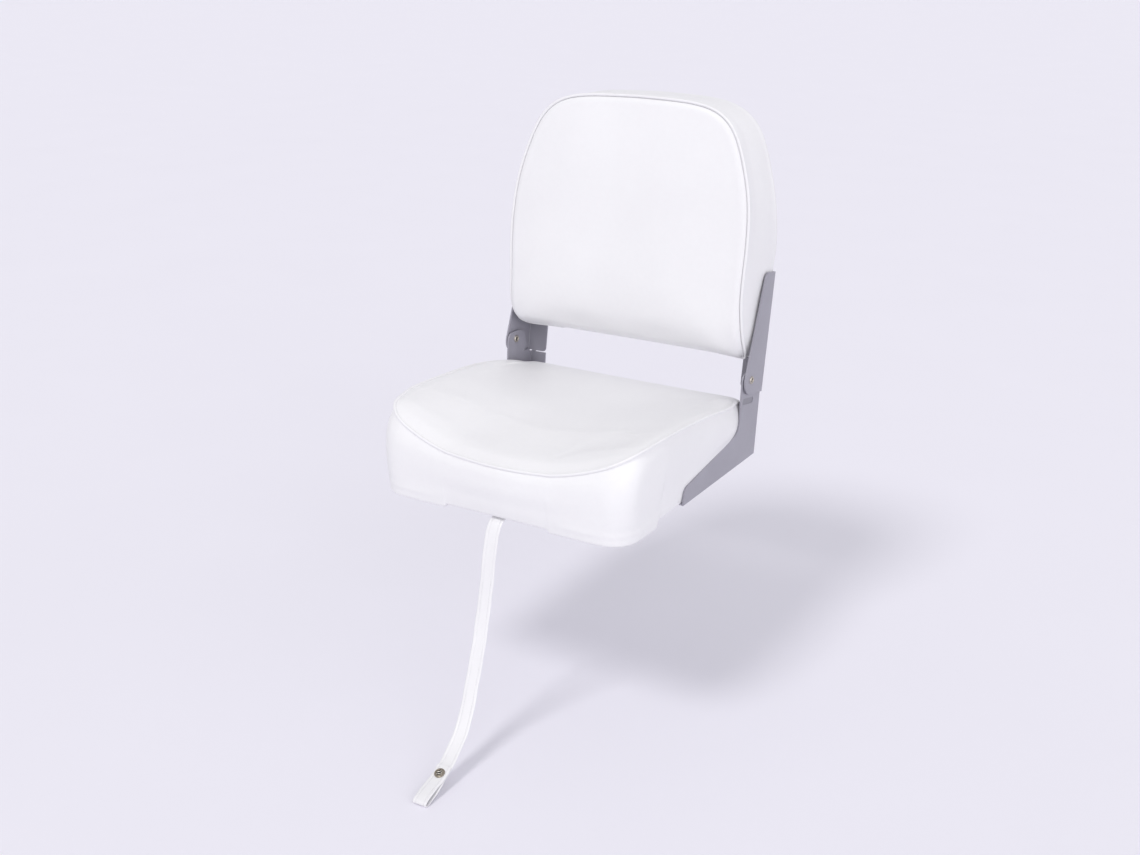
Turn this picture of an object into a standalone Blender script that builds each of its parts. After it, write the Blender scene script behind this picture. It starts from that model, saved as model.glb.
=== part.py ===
"""A low-back folding boat seat: a padded seat on a moulded pan, and a padded
backrest that folds forward on two riveted sheet-steel hinges, with a snap strap.

Units are metres, +Z is up and the seat faces -Y. The origin is the middle of the
mounting pad under the seat, where a pedestal or swivel bolts on.
"""
import math

import bmesh
import bpy
from mathutils import Matrix, Vector

# Clearances and sheet thicknesses
GAP = 0.0003
SHEET = 0.0025
VINYL = 0.0015
OVERRUN = 0.002
SOFT_GAP = 0.0011
EASED_CORNER = 0.001

# Hinge: pivot place, width over the brackets and lean of the backrest
PIVOT_Y = 0.180
PIVOT_Z = 0.131
BRACKET_SPAN = 0.425
LEAN = math.radians(8.97)
WASHER_THICKNESS = 0.0008
BEND_RADIUS = 0.0015

UPPER_OUTER_X = BRACKET_SPAN / 2
UPPER_INNER_X = UPPER_OUTER_X - SHEET
LOWER_OUTER_X = UPPER_INNER_X - WASHER_THICKNESS - 2 * GAP
LOWER_INNER_X = LOWER_OUTER_X - SHEET

# Upper bracket, measured in the leaning frame of the backrest about the pivot
UPPER_REAR = 0.049
UPPER_FOOT_BELOW_PIVOT = 0.0218
UPPER_LENGTH = 0.1825
UPPER_FOOT_DEPTH = 0.0758
UPPER_TOP_DEPTH = 0.0366
UPPER_FOOT_RADIUS = 0.021
UPPER_TOP_RADIUS = 0.012
UPPER_FLANGE_WIDTH = 0.036
UPPER_FLANGE_CORNER = 0.006
UPPER_SCREW_INSET = 0.0265
UPPER_SCREW_HEIGHTS = (0.052, 0.098, 0.144)

# Lower bracket, in the seat's own frame
LOWER_KNEE_BEHIND_PIVOT = 0.0372
LOWER_REAR_SLOPE = 0.1016
LOWER_FLANGE_BELOW_PIVOT = 0.0315
LOWER_FLANGE_WIDTH = 0.0306
LOWER_TOP_ABOVE_PIVOT = 0.0130
LOWER_TOP_BEHIND_PIVOT = 0.0230
LOWER_TOP_RADIUS = 0.0125
LOWER_TOP_REAR_RADIUS = 0.022
LOWER_NECK_AHEAD_OF_PIVOT = 0.0245
LOWER_NECK_LEAN = 0.0025
LOWER_THROAT_RADIUS = 0.020
LOWER_ARM_LENGTH = 0.2487
LOWER_ARM_REAR_HEIGHT = 0.0560
LOWER_ARM_FRONT_HEIGHT = 0.0275
LOWER_TIP_LEAN = 0.0045
LOWER_TIP_RADIUS = 0.010
LOWER_TOE_RADIUS = 0.004
LOWER_FOOT_WIDTH = 0.0306
LOWER_FOOT_REAR_RELIEF = 0.010
LOWER_FOOT_FRONT_RELIEF = 0.006
RELIEF_SLOT_BELOW_PIVOT = 0.0265
RELIEF_SLOT_HEIGHT = 0.0044
RELIEF_SLOT_DEPTH = 0.0180
RELIEF_STEP_BEHIND_KNEE = 0.0038
STOP_TAB_WIDTH = 0.0070
MARK_LENGTH = 0.038
MARK_HEIGHT = 0.0095
MARK_DEPTH = 0.0006
MARK_BELOW_UPPER = 0.0115
LOWER_SCREW_INSET = 0.0246
LOWER_SCREW_SHARES = (0.12, 0.50, 0.86)

LOWER_KNEE_Y = PIVOT_Y + LOWER_KNEE_BEHIND_PIVOT
LOWER_FLANGE_TOP = PIVOT_Z - LOWER_FLANGE_BELOW_PIVOT
LOWER_TOP_Z = PIVOT_Z + LOWER_TOP_ABOVE_PIVOT
LOWER_TOP_REAR_Y = PIVOT_Y + LOWER_TOP_BEHIND_PIVOT
LOWER_NECK_Y = PIVOT_Y - LOWER_NECK_AHEAD_OF_PIVOT
LOWER_TIP_Y = LOWER_KNEE_Y - LOWER_ARM_LENGTH
RELIEF_SLOT_Z = PIVOT_Z - RELIEF_SLOT_BELOW_PIVOT

# Rivets and fasteners
RIVET_RADIUS = 0.0030
RIVET_HEAD_RADIUS = 0.0062
RIVET_HEAD_HEIGHT = 0.0022
RIVET_DIMPLE_RADIUS = 0.0034
RIVET_DIMPLE_DEPTH = 0.0019
RIVET_CLEARANCE = 0.0001
WASHER_RADIUS = 0.0085
SCREW_RADIUS = 0.0021
SCREW_HEAD_RADIUS = 0.0048
SCREW_HEAD_HEIGHT = 0.0024
SCREW_LENGTH = 0.0155
BOARD_SCREW_LENGTH = 0.0110
SCREW_SOCKET_RADIUS = 0.0016
SCREW_SOCKET_DEPTH = 0.0014

# Seat cushion
SEAT_FRONT = 0.194
SEAT_REAR_CLEARANCE = 0.0002
SEAT_DEPTH = SEAT_FRONT + LOWER_KNEE_Y - SEAT_REAR_CLEARANCE
SEAT_OVERHANG = 0.0025
SEAT_HALF_WIDTH = UPPER_OUTER_X + SEAT_OVERHANG
SEAM_HEIGHT = 0.124
FOOT_DROP = 0.0080
CHANNEL_DROP = 0.0030
SEAT_BASE_CLEARANCE = 0.0016
SEAT_BASE_HALF_WIDTH = LOWER_INNER_X - SEAT_BASE_CLEARANCE
SEAT_BASE_FRONT_INSET = 0.0005
SEAT_BASE_REAR_INSET = 0.007
SEAT_BASE_FRONT_RADIUS = 0.042
SEAT_BASE_REAR_RADIUS = 0.028
HEM_WIDTH = 0.014
HEM_ROUND = 0.0025
SEAT_BULGE = 0.011
SEAT_BULGE_SKEW = 1.6
SEAT_SHOULDER_RISE = 0.013
SEAT_REAR_RISE = 0.014
SEAT_SHOULDER_INSET = 0.004
SEAT_DISH_HEIGHT = 0.103
SEAT_DISH_Y = 0.010
CHANNEL_HALF_WIDTH = 0.085
CHANNEL_SIDE_Y = -0.101
STEP_RUN = 0.006

# Backrest, measured in its leaning frame about the pivot
BACK_SEAM_INSET = 0.008
BACK_HALF_WIDTH = UPPER_INNER_X - BACK_SEAM_INSET
BACK_BOTTOM = 0.027
BACK_HEIGHT = 0.372
BACK_FRONT = 0.0485
BACK_CROWN = 0.061
BACK_CROWN_HEIGHT = 0.205
BACK_ROLL_REACH = 0.064
BACK_ROLL_DROP = 0.004
BACK_BULGE = 0.003
BACK_FLARE = 0.0125
BRACKET_TOP_MARGIN = 0.002
BACK_HEM = 0.010
BACK_EDGE_ROUND = 0.004
BOARD_THICKNESS = 0.009
BOARD_INSET = 0.008

# Piping
PIPING_RADIUS = 0.0023
PIPING_STAND_OFF = 0.0020

# Seat pan
PAN_TOP = 0.022
PAN_SKIN = 0.004
PAN_SIDE_GAP = 0.0018
PAD_HALF = 0.078
POCKET = 0.037
RIB = 0.0045
RIB_FIELD_MARGIN = 0.0405
RIB_FIELD_FRONT_MARGIN = 0.022
RIB_FIELD_REAR_MARGIN = 0.027
REAR_FOOT_SIZE = 0.046
POCKET_PITCH = POCKET + RIB
RIB_FIELD_HALF = SEAT_BASE_HALF_WIDTH - RIB_FIELD_MARGIN
RIB_FIELD_FRONT = RIB_FIELD_FRONT_MARGIN - SEAT_FRONT
RIB_FIELD_REAR = SEAT_DEPTH - SEAT_FRONT - RIB_FIELD_REAR_MARGIN
REAR_FOOT_X = 3 * POCKET_PITCH
REAR_FOOT_Y = RIB_FIELD_FRONT + 7 * POCKET_PITCH + POCKET / 2
BOLT_PITCH = 0.127
TNUT_FLANGE_RADIUS = 0.0095
TNUT_FLANGE_THICKNESS = 0.0015
TNUT_BARREL_RADIUS = 0.0042
TNUT_BARREL_LENGTH = 0.0140
TNUT_BORE_RADIUS = 0.0027

# Strap and snap
STRAP_WIDTH = 0.022
STRAP_THICKNESS = 0.0016
STRAP_SCREW_SETBACK = 0.044
STRAP_SCREW_Y = STRAP_SCREW_SETBACK - SEAT_FRONT
STRAP_LAY_Z = -0.0044
STRAP_BOSS = 0.018
SNAP_POST_RADIUS = 0.0020
SNAP_SOCKET_RADIUS = 0.0075
SNAP_SOCKET_HEIGHT = 0.0030
SNAP_SOCKET_MOUTH = 0.0045
SNAP_SOCKET_FLOOR = 0.0009
SNAP_CAP_RADIUS = 0.0070
SNAP_CAP_HEIGHT = 0.0020
STUD_RADIUS = 0.0050
STUD_NECK_RADIUS = 0.0038
STUD_HEIGHT = 0.0042
STUD_BASE_RADIUS = 0.0075
STUD_BASE_HEIGHT = 0.0012
STUD_ABOVE_PIVOT = 0.285
STUD_SHANK_LENGTH = 0.0085
CUP_RADIUS = 0.0075
CUP_THICKNESS = 0.0010

# The strap's hand-chosen route, from the seat down to its tip and back over itself
STRAP_ROUTE = (
    (0.0000, -0.1380, -0.0044),
    (0.0000, -0.1500, -0.0044),
    (0.0000, -0.1640, -0.0044),
    (0.0000, -0.1780, -0.0047),
    (0.0000, -0.1885, -0.0080),
    (0.0000, -0.1955, -0.0163),
    (0.0000, -0.2024, -0.0335),
    (0.0000, -0.2096, -0.0609),
    (0.0000, -0.2152, -0.0893),
    (0.0000, -0.2212, -0.1178),
    (0.0003, -0.2284, -0.1454),
    (0.0010, -0.2372, -0.1727),
    (0.0022, -0.2476, -0.1991),
    (0.0040, -0.2597, -0.2243),
    (0.0066, -0.2738, -0.2485),
    (0.0098, -0.2897, -0.2704),
    (0.0135, -0.3100, -0.2893),
    (0.0163, -0.3345, -0.3045),
    (0.0180, -0.3600, -0.3156),
    (0.0195, -0.3800, -0.3239),
    (0.0204, -0.3950, -0.3299),
)
STRAP_RETURN = (
    (0.0206, -0.4045, -0.3332),
    (0.0205, -0.4096, -0.3328),
    (0.0202, -0.4105, -0.3291),
    (0.0197, -0.4040, -0.3256),
    (0.0192, -0.3940, -0.3228),
    (0.0187, -0.3835, -0.3206),
    (0.0183, -0.3720, -0.3181),
    (0.0180, -0.3609, -0.3135),
    (0.0170, -0.3490, -0.3084),
)
SNAP_ROUTE_INDEX = 18
STRAP_STEPS = 3

# Resolution
RING_STEPS = 28
CURVE_STEPS = 8
ROUND = 20
SMALL_ROUND = 12

# Half outlines, each from the middle of the front or bottom round to the far middle
# Seat seam: share of the half width, of the depth and of the seam height
SEAT_SEAM_SHARES = (
    (0.000, 0.000, 0.589), (0.274, 0.005, 0.605), (0.502, 0.015, 0.653),
    (0.698, 0.028, 0.758), (0.828, 0.046, 0.855), (0.916, 0.083, 0.940),
    (0.958, 0.141, 0.988), (0.974, 0.229, 1.000), (0.981, 0.350, 0.992),
    (0.986, 0.484, 0.968), (0.995, 0.606, 0.940), (1.000, 0.710, 0.891),
    (0.984, 0.769, 0.863), (0.949, 0.813, 0.839), (0.931, 0.849, 0.819),
    (0.928, 0.900, 0.762), (0.912, 0.951, 0.702), (0.856, 0.981, 0.665),
    (0.698, 0.993, 0.645), (0.326, 0.993, 0.645), (0.000, 0.993, 0.645),
)
# Backrest seam: share of the half width, of the front depth and of the height
BACK_SEAM_SHARES = (
    (0.000, 0.784, 0.000), (0.495, 0.784, 0.000), (0.743, 0.701, 0.000),
    (0.891, 0.495, 0.001), (0.960, 0.268, 0.005), (0.990, 0.021, 0.020),
    (0.995, -0.289, 0.051), (0.998, -0.515, 0.086), (0.995, -0.680, 0.132),
    (0.993, -0.804, 0.188), (0.990, -0.887, 0.245), (0.995, -0.969, 0.325),
    (1.000, -1.000, 0.438), (0.995, -1.000, 0.532), (0.983, -1.000, 0.599),
    (0.955, -1.000, 0.683), (0.906, -1.000, 0.770), (0.837, -1.000, 0.868),
    (0.762, -1.000, 0.927), (0.663, -1.000, 0.965), (0.535, -1.000, 0.985),
    (0.347, -1.000, 0.995), (0.000, -1.000, 1.000),
)
# Rear face of the backrest: share of the height, and share of the bracket's depth
BACK_REAR_SHARES = (
    (-0.10, 1.00), (0.00, 1.00), (0.44, 1.00), (0.53, 0.92), (0.61, 0.80),
    (0.73, 0.72), (0.87, 0.68), (1.10, 0.63),
)
# Width of the backrest's rear edge past its seam: share of the height and of the flare
BACK_FLARE_SHARES = (
    (-0.10, 0.76), (0.00, 0.76), (0.34, 0.78), (0.42, 0.90), (0.80, 0.97), (0.92, 1.08),
    (1.00, 1.12), (1.10, 1.12),
)
BACK_REAR = UPPER_REAR - SHEET - GAP
CROWN_SHARES = (0.07, 0.18, 0.34, 0.54, 0.77)
SIDE_SHARES = (0.0, 0.14, 0.42, 0.74)
BAND_SHARES = (0.30, 0.65)
DISH_FOLLOW_SHARE = 0.10
SIDE_STATION_SHARES = (0.12, 0.215, 0.36, 0.52, 0.68, 0.80, 0.857, 0.92)
SADDLE_SHARE = 0.50


def remove_all_objects():
    for thing in list(bpy.data.objects):
        bpy.data.objects.remove(thing, do_unlink=True)


def make_material(name, colour, roughness, metallic=0.0):
    material = bpy.data.materials.new(name)
    material.use_nodes = True
    shader = material.node_tree.nodes["Principled BSDF"]
    shader.inputs["Base Color"].default_value = (*colour, 1.0)
    shader.inputs["Roughness"].default_value = roughness
    shader.inputs["Metallic"].default_value = metallic
    material.diffuse_color = (*colour, 1.0)
    return material


def add_object(name, bm, material, parent=None, smooth=True, place=None):
    """Turn a bmesh into a named object with one material, faces pointing out."""
    bmesh.ops.recalc_face_normals(bm, faces=bm.faces)
    mesh = bpy.data.meshes.new(name)
    bm.to_mesh(mesh)
    bm.free()
    if smooth:
        mesh.shade_smooth()
        mesh.set_sharp_from_angle(angle=math.radians(35))
    thing = bpy.data.objects.new(name, mesh)
    bpy.context.scene.collection.objects.link(thing)
    if material:
        mesh.materials.append(material)
    thing.parent = parent
    if place:
        thing.matrix_local = place
    return thing


def make_cutter(name, bm, parent=None):
    thing = add_object(name, bm, None, parent, smooth=False)
    thing.hide_render = True
    thing.display_type = "WIRE"
    return thing


def boolean(thing, tool, operation="DIFFERENCE", tool_crosses_itself=False):
    step = thing.modifiers.new(operation.title(), "BOOLEAN")
    step.operation = operation
    step.solver = "EXACT"
    step.use_self = tool_crosses_itself
    step.object = tool


def rounded_outline(corners, steps=5):
    """Corner points (a, b, radius) of a polygon, with each corner turned into an arc."""
    count = len(corners)
    outline = []
    for index, (a, b, radius) in enumerate(corners):
        point = Vector((a, b))
        before = Vector(corners[index - 1][:2]) - point
        after = Vector(corners[(index + 1) % count][:2]) - point
        before.normalize()
        after.normalize()
        if radius <= 0:
            outline.append(tuple(point))
            continue
        half = before.angle(after) / 2
        start = point + before * radius / math.tan(half)
        centre = point + (before + after).normalized() * radius / math.sin(half)
        arm = start - centre
        sweep = arm.angle_signed(point + after * radius / math.tan(half) - centre)
        for step in range(steps + 1):
            turn = Matrix.Rotation(-sweep * step / steps, 2)
            outline.append(tuple(centre + turn @ arm))
    return outline


def prism(bm, outline, axis, low, high):
    """Extrude a 2-D outline along X, Y or Z; the outline's axes are the other two."""
    def place(a, b, c):
        if axis == "X":
            return (c, a, b)
        if axis == "Y":
            return (a, c, b)
        return (a, b, c)

    bottom = [bm.verts.new(place(a, b, low)) for a, b in outline]
    top = [bm.verts.new(place(a, b, high)) for a, b in outline]
    bm.faces.new(bottom)
    bm.faces.new(reversed(top))
    count = len(outline)
    for index in range(count):
        after = (index + 1) % count
        bm.faces.new((bottom[index], top[index], top[after], bottom[after]))


def box(bm, x, y, z):
    """A box between pairs of bounds."""
    prism(bm, [(x[0], y[0]), (x[1], y[0]), (x[1], y[1]), (x[0], y[1])], "Z", z[0], z[1])


def turned(bm, profile, place=None, segments=SMALL_ROUND):
    """Spin a half profile of (radius, height) points round the Z axis of a placement."""
    place = place or Matrix()
    rings = []
    for radius, height in profile:
        if radius == 0:
            rings.append([bm.verts.new(place @ Vector((0, 0, height)))])
            continue
        ring = []
        for step in range(segments):
            angle = 2 * math.pi * step / segments
            spot = Vector((radius * math.cos(angle), radius * math.sin(angle), height))
            ring.append(bm.verts.new(place @ spot))
        rings.append(ring)
    pairs = list(zip(rings, rings[1:]))
    if profile[0][0] != 0:
        pairs.append((rings[-1], rings[0]))
    for first, second in pairs:
        for step in range(segments):
            after = (step + 1) % segments
            corners = [first[step % len(first)], first[after % len(first)],
                       second[after % len(second)], second[step % len(second)]]
            face = []
            for corner in corners:
                if corner not in face:
                    face.append(corner)
            bm.faces.new(face)


def aim(point, direction):
    """Placement at a point whose Z axis looks along a direction."""
    turn = Vector(direction).to_track_quat("Z", "Y").to_matrix().to_4x4()
    return Matrix.Translation(point) @ turn


def smooth_curve(points, steps, closed=False):
    """Catmull-Rom curve through the points."""
    points = [Vector(p) for p in points]
    count = len(points)
    spans = count if closed else count - 1
    curve = []
    for index in range(spans):
        if closed:
            a, b, c, d = (points[(index + k) % count] for k in (-1, 0, 1, 2))
        else:
            b, c = points[index], points[index + 1]
            a = points[index - 1] if index else b * 2 - c
            d = points[index + 2] if index + 2 < count else c * 2 - b
        for step in range(steps):
            t = step / steps
            curve.append(0.5 * (2 * b + (c - a) * t + (2 * a - 5 * b + 4 * c - d) * t * t
                                + (3 * b - a - 3 * c + d) * t ** 3))
    if not closed:
        curve.append(points[-1])
    return curve


def lengths_along(points):
    total = [0.0]
    for first, second in zip(points, points[1:]):
        total.append(total[-1] + (second - first).length)
    return total


def sample(points, shares):
    """Points at given shares of a polyline's length."""
    total = lengths_along(points)
    found = []
    for share in shares:
        want = share * total[-1]
        index = 0
        while index < len(points) - 2 and total[index + 1] < want:
            index += 1
        span = total[index + 1] - total[index]
        found.append(points[index].lerp(points[index + 1], (want - total[index]) / span))
    return found


def read_table(table, share):
    """Linear reading of a two-column table."""
    for (a, first), (b, second) in zip(table, table[1:]):
        if share <= b:
            return first + (second - first) * (share - a) / (b - a)
    return table[-1][1]


def mirror_half(half):
    """Close a half outline whose ends lie on the middle plane into a whole loop."""
    other = [Vector((-p.x, p.y, p.z)) for p in reversed(half[1:-1])]
    return half + other


def flat_outward(ring, up):
    """Outward directions of a closed ring, square to the given axis."""
    count = len(ring)
    found = []
    for index in range(count):
        along = ring[(index + 1) % count] - ring[index - 1]
        found.append(along.cross(up).normalized())
    return found


def bezier(a, b, c, d, t):
    s = 1 - t
    return a * s ** 3 + b * 3 * s * s * t + c * 3 * s * t * t + d * t ** 3


def skin(rings, centre=None):
    """Bridge closed rings, and close the last one onto a centre point if there is one."""
    bm = bmesh.new()
    made = [[bm.verts.new(p) for p in ring] for ring in rings]
    count = len(rings[0])
    for first, second in zip(made, made[1:]):
        for index in range(count):
            after = (index + 1) % count
            bm.faces.new((first[index], first[after], second[after], second[index]))
    if centre is not None:
        tip = bm.verts.new(centre)
        for index in range(count):
            bm.faces.new((made[-1][index], made[-1][(index + 1) % count], tip))
    bm.normal_update()
    return bm, made


def orient_outward(bm, inside):
    """Point an open skin's faces away from a point inside it."""
    bmesh.ops.recalc_face_normals(bm, faces=bm.faces)
    bm.normal_update()
    votes = sum(face.normal.dot(face.calc_center_median() - inside) > 0 for face in bm.faces)
    if votes * 2 < len(bm.faces):
        bmesh.ops.reverse_faces(bm, faces=bm.faces)
        bm.normal_update()


def soft_shell(name, rings, centre, inside, material, parent=None):
    """Vinyl cover: a skin given its thickness inwards."""
    bm, made = skin(rings, centre)
    orient_outward(bm, inside)
    mesh = bpy.data.meshes.new(name)
    bm.to_mesh(mesh)
    bm.free()
    mesh.shade_smooth()
    mesh.set_sharp_from_angle(angle=math.radians(50))
    mesh.materials.append(material)
    thing = bpy.data.objects.new(name, mesh)
    bpy.context.scene.collection.objects.link(thing)
    thing.parent = parent
    wall = thing.modifiers.new("Vinyl", "SOLIDIFY")
    wall.thickness = VINYL
    wall.offset = -1
    wall.use_even_offset = True
    wall.use_rim = True
    return thing


def soft_fill(name, rings, centre, inside, floor_ring, material, parent=None):
    """Foam: the cover's skin set in by its wall and a gap, closed by a flat face."""
    bm, made = skin(rings, centre)
    orient_outward(bm, inside)
    depth = VINYL + SOFT_GAP
    moved = [(vert, vert.co - vert.normal * depth) for vert in bm.verts]
    for vert, spot in moved:
        vert.co = spot
    floor = [bm.verts.new(p) for p in floor_ring]
    count = len(floor)
    for index in range(count):
        after = (index + 1) % count
        bm.faces.new((floor[index], floor[after], made[0][after], made[0][index]))
    bm.faces.new(floor)
    return add_object(name, bm, material, parent)


def tube(name, points, radius, material, parent=None, closed=False):
    curve = bpy.data.curves.new(name, "CURVE")
    curve.dimensions = "3D"
    curve.bevel_depth = radius
    curve.bevel_resolution = 1
    curve.use_fill_caps = True
    spline = curve.splines.new("POLY")
    spline.points.add(len(points) - 1)
    for spot, point in zip(spline.points, points):
        spot.co = (*point, 1)
    spline.use_cyclic_u = closed
    curve.materials.append(material)
    thing = bpy.data.objects.new(name, curve)
    bpy.context.scene.collection.objects.link(thing)
    thing.parent = parent
    return thing


# Materials
remove_all_objects()
WHITE_VINYL = make_material("white_vinyl", (0.86, 0.86, 0.88), 0.42)
GREY_COAT = make_material("grey_powder_coat", (0.36, 0.36, 0.41), 0.48, 0.1)
PAN_PLASTIC = make_material("pan_plastic", (0.70, 0.70, 0.71), 0.55)
FOAM = make_material("foam", (0.86, 0.80, 0.62), 0.95)
BOARD = make_material("board_plastic", (0.55, 0.55, 0.56), 0.6)
NICKEL = make_material("nickel", (0.62, 0.58, 0.50), 0.28, 1.0)
STEEL = make_material("zinc_steel", (0.60, 0.60, 0.60), 0.35, 1.0)
NYLON = make_material("nylon", (0.80, 0.80, 0.76), 0.5)

back_pivot = bpy.data.objects.new("back_pivot", None)
bpy.context.scene.collection.objects.link(back_pivot)
back_pivot.location = (0, PIVOT_Y, PIVOT_Z)
back_pivot.rotation_euler = (-LEAN, 0, 0)
SIDES = (("right", 1), ("left", -1))


# Seat cushion form
def seat_base_half():
    """Stations of the base outline, with a pair of points at each foot's step."""
    width = SEAT_BASE_HALF_WIDTH
    front = -SEAT_FRONT + SEAT_BASE_FRONT_INSET
    rear = -SEAT_FRONT + SEAT_DEPTH - SEAT_BASE_REAR_INSET
    step = STEP_RUN / 2
    radius = SEAT_BASE_FRONT_RADIUS
    stations = []
    for x in (0, CHANNEL_HALF_WIDTH / 2, CHANNEL_HALF_WIDTH - step):
        stations.append(Vector((x, front, -CHANNEL_DROP)))
    flat = width - radius
    for x in (CHANNEL_HALF_WIDTH + step, (CHANNEL_HALF_WIDTH + flat) / 2):
        stations.append(Vector((x, front, -FOOT_DROP)))
    for turn in range(5):
        angle = math.pi / 2 * turn / 4
        stations.append(Vector((flat + radius * math.sin(angle),
                                front + radius - radius * math.cos(angle), -FOOT_DROP)))
    low = SHEET + GAP
    stations.append(Vector((width, CHANNEL_SIDE_Y - step, -FOOT_DROP)))
    stations.append(Vector((width, CHANNEL_SIDE_Y + step, low)))
    radius = SEAT_BASE_REAR_RADIUS
    side_length = rear - radius - CHANNEL_SIDE_Y
    for share in SIDE_STATION_SHARES:
        stations.append(Vector((width, CHANNEL_SIDE_Y + side_length * share, low)))
    for turn in range(4):
        angle = math.pi / 2 * turn / 3
        stations.append(Vector((width - radius + radius * math.cos(angle),
                                rear - radius + radius * math.sin(angle), low)))
    for share in (0.75, 0.45, 0.0):
        stations.append(Vector(((width - radius) * share, rear, low)))
    return stations


def arm_top(y):
    """Height of the lower bracket's arm at a place along the seat."""
    run = LOWER_NECK_Y - LOWER_TIP_Y
    rise = LOWER_ARM_REAR_HEIGHT - LOWER_ARM_FRONT_HEIGHT
    return LOWER_ARM_FRONT_HEIGHT + rise * (y - LOWER_TIP_Y) / run


SEAT_PRESSED_X = LOWER_INNER_X - GAP
PRESS_MARGIN = 0.010
NECK_MARGIN = 0.016
ARM_MARGIN = 0.002
ARM_RING_INDEX = 2


def press_in(point, limit):
    """Keep a soft point inside the bracket plates where they lie against it."""
    beside_neck = point.y > LOWER_NECK_Y - NECK_MARGIN
    beside_arm = point.y > LOWER_TIP_Y - PRESS_MARGIN and point.z < arm_top(point.y) + PRESS_MARGIN
    if beside_neck or beside_arm:
        point.x = min(max(point.x, -limit), limit)
    return point


def seat_form():
    """Rings of the seat cover from the hem's inner edge to the crown, and the middle."""
    base_half = seat_base_half()
    total = lengths_along([Vector((p.x, p.y, 0)) for p in base_half])
    shares = [length / total[-1] for length in total]
    seam_points = [Vector((a * SEAT_HALF_WIDTH, b * SEAT_DEPTH - SEAT_FRONT, c * SEAM_HEIGHT))
                   for a, b, c in SEAT_SEAM_SHARES]
    seam_half = sample(smooth_curve(seam_points, CURVE_STEPS), shares)
    for point in (seam_half[0], seam_half[-1]):
        point.x = 0
    base = mirror_half(base_half)
    seam = mirror_half(seam_half)
    up = Vector((0, 0, 1))
    away = flat_outward([Vector((p.x, p.y, 0)) for p in seam], up)
    seam = [p - (n + up) * PIPING_STAND_OFF for p, n in zip(seam, away)]
    outward = flat_outward([Vector((p.x, p.y, 0)) for p in base], up)
    hem = [p - n * HEM_WIDTH for p, n in zip(base, outward)]
    edge = [p - n * HEM_ROUND for p, n in zip(base, outward)]
    rings = [hem, edge]
    for number, share in enumerate(SIDE_SHARES):
        ring = []
        for low, high, n in zip(base, seam, outward):
            foot = low + up * HEM_ROUND
            along = share
            if number == ARM_RING_INDEX:
                beside = min(max(low.y, LOWER_TIP_Y), LOWER_NECK_Y)
                along = (arm_top(beside) + ARM_MARGIN - foot.z) / (high.z - foot.z)
            skewed = along ** SEAT_BULGE_SKEW
            spot = foot.lerp(high, along) + n * SEAT_BULGE * 4 * skewed * (1 - skewed)
            ring.append(press_in(spot, SEAT_PRESSED_X))
        rings.append(ring)
    limit = SEAT_PRESSED_X - 2 * PIPING_RADIUS - GAP
    seam = [press_in(p.copy(), limit) for p in seam]
    rings.append(seam)
    centre = Vector((0, SEAT_DISH_Y, SEAT_DISH_HEIGHT))
    shoulder_in = flat_outward(seam, up)
    for t in CROWN_SHARES:
        ring = []
        for start, n in zip(seam, shoulder_in):
            flat_in = Vector((n.x, n.y, 0)).normalized() * SEAT_SHOULDER_INSET
            rise = SEAT_SHOULDER_RISE + SEAT_REAR_RISE * max(0, n.y)
            first = start + up * rise - flat_in
            second = start.lerp(centre, SADDLE_SHARE)
            second.z = centre.z + DISH_FOLLOW_SHARE * (start.z - centre.z)
            ring.append(bezier(start, first, second, centre, t))
        rings.append(ring)
    return rings, centre


seat_rings, seat_centre = seat_form()
SEAT_SEAM_RING_INDEX = 2 + len(SIDE_SHARES)
seat_inside = Vector((0, 0, SEAM_HEIGHT / 2))
soft_shell("seat_cover", seat_rings, seat_centre, seat_inside, WHITE_VINYL)


def piping_path(rings, seam_index, centre, inside):
    """The seam ring moved off the cover by the piping's radius and a gap."""
    bm, made = skin(rings, centre)
    orient_outward(bm, inside)
    path = [vert.co + vert.normal * (PIPING_RADIUS + 2 * GAP) for vert in made[seam_index]]
    bm.free()
    return path


seat_path = piping_path(seat_rings, SEAT_SEAM_RING_INDEX, seat_centre, seat_inside)
tube("seat_piping", seat_path, PIPING_RADIUS, WHITE_VINYL, closed=True)

FOAM_FIRST_RING_INDEX = 2 + ARM_RING_INDEX
foam_floor_z = PAN_TOP + GAP
foam_base = seat_rings[FOAM_FIRST_RING_INDEX]
foam_up = Vector((0, 0, 1))
foam_outward = flat_outward([Vector((p.x, p.y, 0)) for p in foam_base], foam_up)
FOAM_FOOT_INSET = 0.012
foam_floor = [Vector((p.x - n.x * FOAM_FOOT_INSET, p.y - n.y * FOAM_FOOT_INSET, foam_floor_z))
              for p, n in zip(foam_base, foam_outward)]
soft_fill("seat_foam", seat_rings[FOAM_FIRST_RING_INDEX:], seat_centre, seat_inside, foam_floor, FOAM)


# Seat pan
def pan_outline(inset):
    base = mirror_half(seat_base_half())
    outward = flat_outward([Vector((p.x, p.y, 0)) for p in base], Vector((0, 0, 1)))
    return [(p.x - n.x * inset, p.y - n.y * inset) for p, n in zip(base, outward)]


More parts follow.
